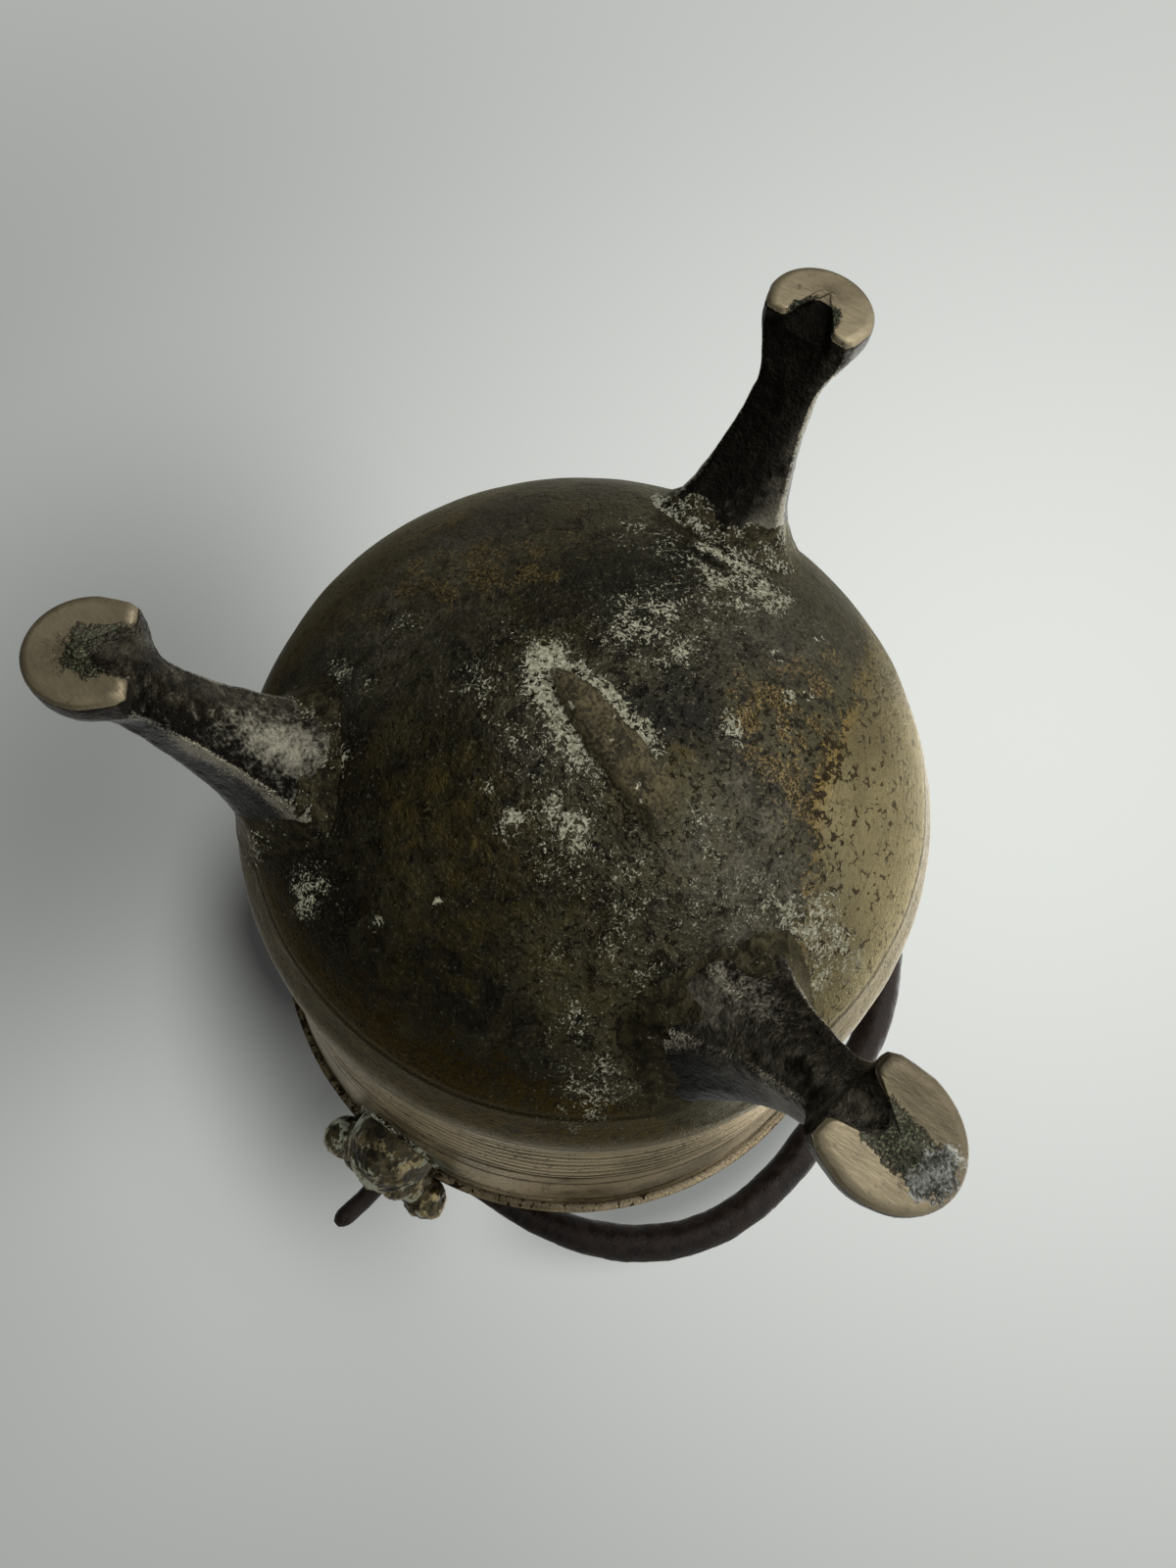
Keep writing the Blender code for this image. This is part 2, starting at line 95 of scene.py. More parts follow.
PLATE_INNER = 0.0840
BAIL_HALF_SPAN = 0.0798
PIN_END = 0.0997

RIM_HEIGHT = BELLY_HEIGHT + WALL_HEIGHT
WALL_FOOT = BELLY_HEIGHT + BELLY_STRAIGHT
BAND_FOOT = RIM_HEIGHT - RIM_BAND_HEIGHT
WALL_TOP_RADIUS = RIM_RADIUS - RIM_BAND_PROUD
BASE_HEIGHT = BELLY_HEIGHT - DOME_DEPTH

# Rounded reeds turned round the foot of the wall, and the lines cut above them: height and depth
REED_COUNT = 9
REED_PITCH = 0.0064
REED_DEPTH = 0.0009
REED_TOP = BELLY_HEIGHT + REED_COUNT * REED_PITCH
# Dirt and painted shade in each valley between the reeds, from the belly up
REED_DIRT_AND_SHADE = (1.0, 0.5, 1.0, 0.3, 0.9, 0.4, 1.0, 0.5, 0.8, 1.0)
GROOVES = [(0.1268, 0.0006), (0.1372, 0.0005), (0.1640, 0.0004), (0.1722, 0.0006), (0.1776, 0.0004)]
GROOVE_HALF_WIDTH = 0.0009
# Depth from which a cut line is fully dark with dirt and painted shade
CUT_DARK_DEPTH = 0.0004
# Casting scar on the dome: its tip, its direction, how far it runs, its half width and how it tapers,
# and the groove along one side
SCAR_TIP = (-0.0006, 0.0110)
SCAR_ANGLE = 287.0
SCAR_LENGTH = 0.0390
SCAR_HALF_WIDTH = 0.0040
SCAR_TIP_WIDTH = 0.0006
SCAR_TAPER = 0.0075
SCAR_GROOVE_DEPTH = 0.0012
# Hollow band between the dome and the moulding: its inner radius and depth
BAND_RADIUS = 0.0692
BAND_SINK = 0.0007

# Photograph's viewpoint
CAMERA_PLACE = Vector((0.07353836, -0.03992807, -0.17081168))
CAMERA_FORWARD = Vector((-0.29916562, 0.16233099, 0.94029175))
CAMERA_UP = Vector((-0.76033016, 0.55485004, -0.33769732))
CAMERA_LENS = 26.6465
CAMERA_SENSOR = 36.0
RIGHT = CAMERA_FORWARD.cross(CAMERA_UP).normalized()

# Patches on the dome: x and y of the middle, how far they spread and their strength, lengths in millimetres
AMBER_PATCHES = [
    (-18, -29, 7, 0.42), (-12, -35, 7, 0.42), (-24, -20, 5, 0.28), (-31, -29, 6, 0.40),
    (-43, -27, 4, 0.35), (-8, -41, 6, 0.30), (-15, -21, 4, 0.25), (-13, 39, 7, 0.55), (-14, 28, 5, 0.50),
    (-24, 28, 6, 0.45), (-3, 46, 7, 0.50), (-39, 29, 6, 0.35), (10, 53, 6, 0.36), (-52, 16, 5, 0.2),
]
OCHRE_PATCHES = [
    (32, 13, 8, 0.9), (39, 2, 9, 0.5), (25, 25, 7, 0.4), (-6, 19, 7, 0.3), (8, -14, 4, 0.5),
    (1, -18, 3, 0.6), (42, -11, 9, 0.35), (40, -27, 9, 0.3), (-12, 65, 8, 0.3), (55, -2, 9, 0.3),
]
SOOT_PATCHES = [
    (36, -43, 4.5, 1.2), (5, 25, 3.5, 0.8), (-33, 16, 8, 0.6), (-42, -21, 8, 0.7), (-9, -13, 6, 0.6),
    (54, -12, 7, 0.4), (3, -39, 7, 0.5), (-8, -53, 5, 0.3), (22, 48, 7, 0.5),
]
LIME_PATCHES = [
    (-16, 5, 5, 0.32), (-16, -6, 4, 0.34), (-11, -22, 2.4, 0.5), (-2, 22, 3, 0.2), (-26, 2, 4, 0.25),
    (19, -7, 4, 0.42), (13, 6, 4, 0.30), (9, 19, 4, 0.30), (22, 7, 1.8, 0.45), (26, 0, 2.3, 0.38),
    (27, -11, 3, 0.28), (21, -21, 5.5, 0.17), (14, -32, 6, 0.12), (25, -35, 5.7, 0.10),
    (11, -42, 6, 0.13), (32, -25, 4.3, 0.15), (41, -19, 3.4, 0.16), (46, -29, 3.5, 0.25),
    (49, -39, 3.6, 0.22), (34, -35, 3.7, 0.14), (5, -27, 3.6, 0.22), (4, -46, 6, 0.09),
    (-2, -52, 4, 0.14), (5, -62, 4, 0.30), (-45, -2, 4.4, 0.45), (-43, -13, 4, 0.38),
    (-36, -5, 4.2, 0.35), (-41, 7, 5, 0.30), (-38, 19, 5, 0.20), (54, 26, 2.8, 0.65),
    (32, 35, 2.4, 0.45), (6, 41, 3.3, 0.20), (17, 39, 2.7, 0.18), (-29, -9, 3.3, 0.20),
    (56, -37, 5.5, 0.2), (16, -56, 4.2, 0.35), (20, 47, 3, 0.25), (8, -54, 5, 0.30),
]
HAZE_PATCHES = [
    (4, -46, 8, 0.8), (-3, -37, 6, 0.5), (12, -38, 7, 0.6), (0, -30, 6, 0.4), (-40, -20, 8, 0.35),
    (-30, -12, 8, 0.3), (0, 45, 12, 0.35), (20, 44, 8, 0.3), (-20, 45, 9, 0.25), (10, 2, 7, 0.25),
]
# Pits in the dome: x and y, radius and depth, in millimetres
PITS = [
    (-24.9, -26.3, 1.0, 0.7), (-28.0, -28.8, 0.8, 0.6), (-29.5, -30.0, 0.8, 0.5),
    (-30.8, -20.1, 0.9, 0.6), (-17.9, -29.2, 0.8, 0.5), (-42.0, -24.0, 0.8, 0.5), (52.4, 10.9, 0.9, 0.9),
    (44.0, 3.0, 0.6, 0.6),
]
# Round the wall: angle, and how far painted shade darkens the brass on the side turned from the light
WALL_SHADE = [
    (0, 0.55), (15, 0.8), (45, 1.0), (80, 1.0), (120, 0.6), (180, 0.35), (240, 0.0), (300, 0.0),
    (325, 0.12), (345, 0.35), (360, 0.55),
]
# Round the dome: angle, radius at which bare brass begins, and how golden-brown it has gone
BRASS_EDGE = [
    (0, 63, 1.0), (15, 64, 1.0), (40, 69, 1.0), (70, 64, 0.7), (85, 56, 0.55), (100, 56, 0.5),
    (115, 55, 0.5), (130, 63, 0.65), (150, 70, 0.7), (180, 73, 0.6), (200, 71, 0.4), (206, 66, 0.2),
    (212, 61, 0.1), (220, 54, 0.05), (228, 49, 0.0), (236, 45, 0.0), (245, 43, 0.0), (255, 42, 0.0),
    (262, 44, 0.0), (270, 47, 0.05), (279, 51, 0.1), (288, 60, 0.25), (298, 68, 0.6), (320, 67, 1.0),
    (340, 63, 1.0), (360, 63, 1.0),
]
# How softly the brass's edge fades, in millimetres; the green at one lug's foot, in metres; and the seeds of
# the amber, ochre, soot and haze patches
BRASS_FADE = 18
VERDIGRIS_SPOT = (0.084, -0.004, 0.158)
VERDIGRIS_SPREAD = 0.020
STAIN_SEEDS = (32, 33, 34, 36)
# Points round the bowl, and across half a face of a leg
BOWL_STEPS = 320
LEG_FINE = 16


def smoothstep(value, low=0.0, high=1.0):
    share = np.clip((np.asarray(value, dtype=float) - low) / (high - low), 0.0, 1.0)
    return share * share * (3 - 2 * share)


def bell(value, middle, width):
    """1 at the middle, falling away over a width on both sides."""
    return np.exp(-((value - middle) / width) ** 2)


def fractal(points, size, seed, octaves):
    """Fractal noise of roughly -1 to 1 at each point, with features of a given size."""
    shift = Vector((seed * 13.7, seed * 5.3, seed * 9.1))
    return np.array([noise.fractal(Vector(p) / size + shift, 0.9, 2.0, octaves) for p in points])


def wave(*place):
    """Smooth noise of -1 to 1 at one place."""
    return noise.noise(Vector(place))


def heading(turn):
    return np.array([math.cos(turn), math.sin(turn)])


# Meshes


def pushed(rows, ways, amount):
    """A grid of points moved along the direction that each of them has."""
    return rows + ways * np.reshape(amount, rows.shape[:2])[..., None]


def skin(rows, capped=False, poles=()):
    """Mesh over a grid of rows of closed rings, whose ends stay open, get flat caps or draw to a point."""
    rows = np.asarray(rows, dtype=float)
    count, around = rows.shape[:2]
    verts = [tuple(p) for p in rows.reshape(-1, 3)]
    faces = []
    for i in range(count - 1):
        for j in range(around):
            k = (j + 1) % around
            faces.append((i * around + j, i * around + k, (i + 1) * around + k, (i + 1) * around + j))
    last = (count - 1) * around
    if poles:
        verts += [tuple(pole) for pole in poles]
        for j in range(around):
            k = (j + 1) % around
            faces += [(k, j, len(verts) - 2), (last + j, last + k, len(verts) - 1)]
    if capped:
        faces += [tuple(range(around - 1, -1, -1)), tuple(range(last, last + around))]
    mesh = bpy.data.meshes.new("skin")
    mesh.from_pydata(verts, [], faces)
    mesh.update()
    bm = bmesh.new()
    bm.from_mesh(mesh)
    bmesh.ops.recalc_face_normals(bm, faces=bm.faces)
    bm.to_mesh(mesh)
    bm.free()
    mesh.shade_smooth()
    return mesh


def add_masks(mesh, masks):
    """Point values by name, which the finishes read."""
    for name, values in masks.items():
        layer = mesh.attributes.new(name, "FLOAT", "POINT")
        layer.data.foreach_set("value", np.asarray(values, dtype=np.float32))


def coordinates(mesh):
    flat = np.empty(len(mesh.vertices) * 3)
    mesh.vertices.foreach_get("co", flat)
    return flat.reshape(-1, 3)


def place(node, mesh, material, slot, body="pot"):
    """Adds a finished mesh as the looks of a CAD node."""
    mesh.name = f"{node}_looks"
    mesh.materials.append(material)
    obj = bpy.data.objects.new(mesh.name, mesh)
    bpy.context.collection.objects.link(obj)
    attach(obj, body)
    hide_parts(node)


# Bowl


def dome_point(angle, radius, depth):
    power = 2 / DOME_ROUNDNESS
    return radius * math.sin(angle) ** power, BELLY_HEIGHT - depth * math.cos(angle) ** power


def wall_radius(height):
    share = max(0.0, (height - WALL_FOOT) / (RIM_HEIGHT - WALL_FOOT))
    return BELLY_RADIUS + (WALL_TOP_RADIUS - BELLY_RADIUS) * share ** WALL_CURVE


def outer_radius(height):
    """Radius of the bowl's outside at a height, without mouldings."""
    if height < BASE_HEIGHT:
        return 0.0
    if height > BELLY_HEIGHT:
        return wall_radius(height)
    cosine = ((BELLY_HEIGHT - height) / DOME_DEPTH) ** (DOME_ROUNDNESS / 2)
    return BELLY_RADIUS * math.sqrt(max(0.0, 1 - cosine * cosine)) ** (2 / DOME_ROUNDNESS)


def dome_gap(points):
    """How far points stand off the dome's outside, and where they lie when drawn onto it."""
    arm = points - np.array([0, 0, BELLY_HEIGHT])
    radius = np.hypot(arm[:, 0], arm[:, 1]) / BELLY_RADIUS
    drop = np.clip(-arm[:, 2], 0, None) / DOME_DEPTH
    size = (radius ** DOME_ROUNDNESS + drop ** DOME_ROUNDNESS) ** (1 / DOME_ROUNDNESS) + 1e-9
    length = np.linalg.norm(arm, axis=1)
    drawn = arm / size[:, None]
    return length * (1 - 1 / size), drawn


def bowl_profile():
    """Points (radius, height) from the base's middle, out over the rim and down the inside."""
    points = []
    dome_steps = 110
    for i in range(1, dome_steps):
        points.append(dome_point(i / dome_steps * math.pi / 2, BELLY_RADIUS, DOME_DEPTH))
    reed_steps = 12
    for i in range(1, REED_COUNT * reed_steps + 1):
        height = BELLY_HEIGHT + REED_PITCH * i / reed_steps
        sink = REED_DEPTH * (0.7 - abs(math.sin(i / reed_steps * math.pi)) ** 0.5)
        points.append((wall_radius(height) - sink, height))
    heights = {REED_TOP + (BAND_FOOT - REED_TOP) * i / 50 for i in range(1, 51)}
    heights |= {BAND_FOOT + RIM_BAND_HEIGHT * i / 10 for i in range(1, 9)}
    for groove, _ in GROOVES:
        heights |= {groove + GROOVE_HALF_WIDTH * k / 2 for k in range(-4, 5)}
    for height in sorted(heights):
        radius = wall_radius(height)
        step = smoothstep(height, BAND_FOOT, BAND_FOOT + RIM_BAND_PROUD)
        radius += (RIM_RADIUS - radius) * float(step)
        for groove, depth in GROOVES:
            radius -= depth * math.exp(-((height - groove) / GROOVE_HALF_WIDTH) ** 2)
        points.append((radius, height))
    inner_rim = WALL_TOP_RADIUS - WALL_THICKNESS
    lip = (RIM_RADIUS - inner_rim) / 2
    lip_steps = 12
    for i in range(1, lip_steps):
        angle = i / lip_steps * math.pi
        rise = RIM_ROUND * math.sin(angle) ** 0.6
        points.append((RIM_RADIUS - lip + lip * math.cos(angle), RIM_HEIGHT - RIM_ROUND + rise))
    for i in range(0, 41):
        height = RIM_HEIGHT - RIM_ROUND - (RIM_HEIGHT - RIM_ROUND - WALL_FOOT) * i / 40
        points.append((wall_radius(height) - WALL_THICKNESS, height))
    for i in range(1, 30):
        angle = (1 - i / 30) * math.pi / 2
        points.append(dome_point(angle, BELLY_RADIUS - WALL_THICKNESS, DOME_DEPTH - WALL_THICKNESS))
    return points


def patch_field(points, patches, seed):
    """Sum of soft patches placed in plan, in millimetres, with their outlines made uneven."""
    field = np.zeros(len(points))
    for x, y, spread, strength in patches:
        far2 = (points[:, 0] * 1000 - x) ** 2 + (points[:, 1] * 1000 - y) ** 2
        field += strength * np.exp(-far2 / (2 * spread ** 2))
    field = 0.75 * np.tanh(field / 0.75)
    return np.clip(field * (1 + 1.1 * fractal(points, 0.0045, seed, 4)), 0, 1)


def gate_scar(points):
    """Where the casting scar is, how it stands off the dome, and the deposit along its sides."""
    axis = heading(math.radians(SCAR_ANGLE))
    arm = points[:, :2] - np.array(SCAR_TIP)
    along = arm @ axis
    across = arm @ np.array([-axis[1], axis[0]])
    across = across + 0.0009 * np.array([wave(s * 260, 3.1, 0.7) for s in along])
    half = SCAR_TIP_WIDTH + SCAR_HALF_WIDTH * (1 - np.exp(-np.clip(along, 0, None) / SCAR_TAPER))
    fade = smoothstep(along, SCAR_LENGTH, SCAR_LENGTH * 0.72)
    inside = smoothstep(half - np.abs(across), -0.0002, 0.0006) * smoothstep(along, 0.0, 0.0015) * fade
    groove = bell(across, half, 0.0009) * smoothstep(along, 0.0, 0.002) * fade
    left = bell(across, half, 0.0072) * smoothstep(along, 0.031, 0.012)
    right = bell(across, -half, 0.0040) * smoothstep(along, 0.030, 0.022)
    beside = np.where(across > half, left, 0.0) + np.where(across < -half, right, 0.0)
    beside = beside * smoothstep(along, -0.004, 0.001)
    head = bell(np.hypot(along + 0.001, across), 0, 0.0060)
    swell = smoothstep(half - np.abs(across), 0.0, 0.0022) * 0.6 + 0.4 + 0.5 * fractal(points, 0.004, 41, 3)
    proud = inside * swell * GATE_PROUD * 0.75 - groove * SCAR_GROOVE_DEPTH
    return inside, proud, np.clip(np.maximum(beside, head), 0, 1)


def dome_band(points):
    """The hollow band at the dome's edge, and the line along its inner side."""
    radius = np.hypot(points[:, 0], points[:, 1])
    share = np.clip((radius - BAND_RADIUS) / (BELLY_RADIUS - BAND_RADIUS), 0, 1)
    line = bell(radius, BAND_RADIUS, 0.00035)
    return np.sin(share * math.pi) ** 0.8, line


def make_bowl(material):
    profile = np.array(bowl_profile())
    around = BOWL_STEPS
    tangent = np.gradient(profile, axis=0)
    normal = np.stack([tangent[:, 1], -tangent[:, 0]], 1)
    normal /= np.linalg.norm(normal, axis=1)[:, None]
    turn = np.arange(around) / around * 2 * math.pi
    spoke = np.stack([np.cos(turn), np.sin(turn)], 1)
    rows = np.empty((len(profile), around, 3))
    rows[:, :, :2] = profile[:, None, :1] * spoke[None]
    rows[:, :, 2] = profile[:, 1:2]
    push = np.empty_like(rows)
    push[:, :, :2] = normal[:, None, :1] * spoke[None]
    push[:, :, 2] = normal[:, 1:2]
    flat = rows.reshape(-1, 3)
    lip_row = int(np.argmax(profile[:, 1]))
    row_of = np.repeat(np.arange(len(profile)), around)
    outside = row_of <= lip_row
    dome = outside & (flat[:, 2] < BELLY_HEIGHT)
    band, band_line = dome_band(flat)
    swell = fractal(flat, 0.022, 1, 3) * 0.00022 + fractal(flat, 0.006, 2, 3) * 0.00005
    inside_scar, scar, _ = gate_scar(flat)
    swell += np.where(dome, scar - BAND_SINK * band - 0.0004 * band_line, 0.0)
    for x, y, radius, depth in PITS:
        far = np.hypot(flat[:, 0] * 1000 - x, flat[:, 1] * 1000 - y)
        swell -= np.where(dome, depth * 0.001 * bell(far, 0, radius), 0.0)
    near_lip = bell(flat[:, 2], RIM_HEIGHT, 0.0022)
    nicks = np.clip(fractal(flat * np.array([1, 1, 0.2]), 0.0035, 5, 2) - 0.25, 0, 1)
    swell -= near_lip * nicks * 0.0007
    poles = ((0, 0, BASE_HEIGHT), (0, 0, BASE_HEIGHT + WALL_THICKNESS))
    mesh = skin(pushed(rows, push, swell), poles=poles)
    mask_bowl(mesh, np.append(outside, [True, False]), np.append(dome, [True, False]),
              np.append(inside_scar, [1.0, 0.0]))
    place("bowl", mesh, material, "bowl_brass")


def mask_bowl(mesh, outside, dome, inside_scar):
    """Tells the bowl's finish where bare brass, dirt, painted shade and highlight, lime and stains are."""
    points = coordinates(mesh)
    rise = points[:, 2]
    wall = outside & ~dome
    radius = np.hypot(points[:, 0], points[:, 1]) * 1000
    angle = np.degrees(np.arctan2(points[:, 1], points[:, 0])) % 360
    turn, edge, golden = np.array(BRASS_EDGE, dtype=float).T
    edge = np.interp(angle, turn, edge)
    golden = np.interp(angle, turn, golden)
    wall_shade = np.interp(angle, *np.array(WALL_SHADE).T)
    roll = bell(rise, BELLY_HEIGHT + 0.002, 0.005)
    # On the wall the painted shade makes the brass less bare, more golden-brown and less polished; it dulls
    # the band too
    bare = np.where(dome, smoothstep((radius - edge) / BRASS_FADE + 0.5), 0.92 - 0.30 * wall_shade)
    golden = np.where(dome, golden, np.clip(0.22 + 0.6 * wall_shade + 0.5 * roll, 0, 1))
    _, band_line = dome_band(points)
    band_edge = BAND_RADIUS * 1000
    on_band = np.where(dome, smoothstep(radius, band_edge - 0.2, band_edge + 0.2), 0.0)
    bare = bare + (0.72 - 0.25 * wall_shade - bare) * on_band
    golden = golden + (0.92 - golden) * on_band
    # Bright crests of the reeds and at the band's foot: polish with a painted highlight
    crest = bell(rise, BAND_FOOT, 0.0012)
    # Dark lines in the cut grooves, the reed valleys and along the dome's band: dirt with painted shade
    lines = [(height, depth / CUT_DARK_DEPTH, GROOVE_HALF_WIDTH * 1.2) for height, depth in GROOVES]
    for reed, dirt_and_shade in enumerate(REED_DIRT_AND_SHADE):
        valley = BELLY_HEIGHT + reed * REED_PITCH
        lines.append((valley, dirt_and_shade, 0.0009 + 0.0008 * dirt_and_shade))
        crest = crest + bell(rise, valley + REED_PITCH / 2, 0.0010)
    cut = np.where(dome, band_line, 0.0)
    for height, strength, width in lines:
        cut = cut + np.where(dome, 0.0, strength * bell(rise, height, width))
    _, _, scar_sides = gate_scar(points)
    lime = np.clip(patch_field(points, LIME_PATCHES, 31), 0, 0.58) + 0.07
    crumbs = 1 + 0.45 * fractal(points, 0.003, 35, 3)
    lime = np.clip(np.maximum(lime, 0.70 * scar_sides * crumbs), 0, 0.72)
    for x, y, size, _ in PITS:
        far = np.hypot(points[:, 0] * 1000 - x, points[:, 1] * 1000 - y)
        lime = np.maximum(lime, 0.75 * bell(far, size * 1.15, size * 0.40))
    verdigris = 0.30 * bell(rise, RIM_HEIGHT, 0.004)
    for side in (-1, 1):
        far = np.linalg.norm(points - np.array(VERDIGRIS_SPOT) * (side, 1, 1), axis=1)
        verdigris += 0.75 * bell(far, 0, VERDIGRIS_SPREAD)
    masks = {
        "bare": np.where(outside, bare, 0.50),
        "golden": np.where(outside, golden, 0.55),
        "polish": np.where(wall, (1.0 - 0.8 * wall_shade) * (1.0 - 0.6 * roll), 0.0),
        "crest": np.where(wall, np.clip(crest, 0, 1), 0.0),
        "cut": np.where(outside, np.clip(cut, 0, 1), 0.0),
        "lime": np.where(dome, lime, np.where(outside, 0.08, 0.16)),
        "verdigris": np.where(wall, np.clip(verdigris, 0, 1), 0.0),
        "scar": np.where(dome, inside_scar, 0.0),
    }
    stains = {"amber": AMBER_PATCHES, "ochre": OCHRE_PATCHES, "soot": SOOT_PATCHES, "haze": HAZE_PATCHES}
    for (name, patches), seed in zip(stains.items(), STAIN_SEEDS):
        masks[name] = np.where(dome, patch_field(points, patches, seed), 0.0)
    add_masks(mesh, masks)


# Legs


# Heights of the rings at the sole, the sole's rounding, the shares at which rings fill the sole, and the
# heights over which the root spreads
SOLE_HEIGHTS = (0.0, 0.00015, 0.0004, 0.0008, 0.0014, 0.0022)
SOLE_ROUND = 0.0007
SOLE_SHARES = (0.12, 0.3, 0.5, 0.7, 0.86)
SPREAD_HEIGHTS = (0.026, 0.044)
# Flare of a leg at the dome, how far it reaches down the leg, and how deep the root sits in the wall
LEG_FLARE = 0.0032
LEG_FLARE_REACH = 0.0050
LEG_BURIED = 0.0012
# Two ridges across the shank: how far off the dome they lie, and their height; and the keel's full height
RIDGE_GAPS = (0.0032, 0.0056)
RIDGE_HEIGHT = 0.0005
KEEL_HEIGHT = 0.0011
# Each leg's wear and painted light: middle, half length and half width of the crust on its sole; how strong
# the painted sheen on the inner face, the grey haze, the ridges, the darkness of the whole leg, the chalk at
# the root, the smear on the sole, the painted shade on the underside, the painted shade in the hollow beside
# the root and the dull half of the sole are; where the haze starts; the keel's height
LEG_LOOKS = {
    "front_right": {"crust": (0.0010, 0.0085, 0.0040), "painted_sheen": 0.66, "haze": 0.70, "haze_from": -0.40,
                    "ridge": 0.3, "keel": 0.0011, "black": 0.05, "chalk": 0.15, "smear": 1.0, "under": 0.25,
                    "hollow": 1.0, "dim": 0.62},
    "back_right": {"crust": (-0.0040, 0.0065, 0.0050), "painted_sheen": 1.0, "haze": 0.4, "haze_from": -0.15,
                   "ridge": 1.0, "keel": 0.0004, "black": 0.0, "chalk": 0.30, "smear": 0.0, "under": 0.9,
                   "hollow": 0.0, "dim": 0.0},
    "left": {"crust": (-0.0050, 0.0045, 0.0050), "painted_sheen": 0.22, "haze": 1.0, "haze_from": 0.38,
             "ridge": 0.2, "keel": 0.0003, "black": 0.8, "chalk": 0.5, "smear": 0.0, "under": 0.0,
             "hollow": 0.0, "dim": 0.0},
}


def arc(middle, reach, half):
    """Half an oval from one side, over the far point, to the other side."""
    angles = [math.pi / 2 - i / (2 * LEG_FINE) * math.pi for i in range(2 * LEG_FINE + 1)]
    return [(middle + reach * math.cos(angle), half * math.sin(angle)) for angle in angles]


def hoof_outline(width, length, notch, twist):
    half = width / 2
    inner = -length / 2
    points = []
    for i in range(2 * LEG_FINE + 1):
        side = half * 0.80 * (i / LEG_FINE - 1)
        ragged = 1 + 0.16 * wave(side * 420, width * 900, length * 700)
        dip = math.exp(-(side / (NOTCH_WIDTH / 2 * ragged)) ** 4)
        points.append((inner + NOTCH_DEPTH * notch * dip, side))
    neck = inner + length * 0.20
    waist = inner + length * 0.36
    points += [(neck - length * 0.12, half * 0.90), (neck, half * 0.95)]
    points += arc(waist, length / 2 - waist, half)
    points += [(neck, -half * 0.95), (neck - length * 0.12, -half * 0.90)]
    turn = Matrix.Rotation(math.radians(twist), 2)
    return np.array([turn @ Vector(point) for point in points])


def shank_outline(width, thickness):
    half = width / 2
    inner = -thickness / 2
    points = []
    for i in range(2 * LEG_FINE + 1):
        side = half * 0.97 * (i / LEG_FINE - 1)
        points.append((inner - thickness * 0.07 * (1 - (side / half) ** 2), side))
    points += [(inner + thickness * 0.05, half), (inner + thickness * 0.30, half * 0.97)]
    points += arc(thickness * 0.10, thickness * 0.40, half * 0.86)
    points += [(inner + thickness * 0.30, -half * 0.97), (inner + thickness * 0.05, -half)]
    return np.array(points)


def key_curve(keys, height):
    """Key values at a height, on cubic curves that don't overshoot the keys."""
    steps = np.diff(keys[:, 0])
    rises = np.diff(keys[:, 1:], axis=0) / steps[:, None]
    slopes = np.zeros((len(keys), rises.shape[1]))
    together = rises[:-1] * rises[1:]
    slopes[1:-1] = np.where(together > 0, 2 * together / (rises[:-1] + rises[1:] + 1e-12), 0.0)
    slopes[-1] = rises[-1]
    span = int(np.clip(np.searchsorted(keys[:, 0], height, side="right") - 1, 0, len(keys) - 2))
    t = (height - keys[span, 0]) / steps[span]
    start, end = keys[span, 1:], keys[span + 1, 1:]
    return ((1 + 2 * t) * (1 - t) ** 2 * start + t * (1 - t) ** 2 * steps[span] * slopes[span]
            + t * t * (3 - 2 * t) * end + t * t * (t - 1) * steps[span] * slopes[span + 1])


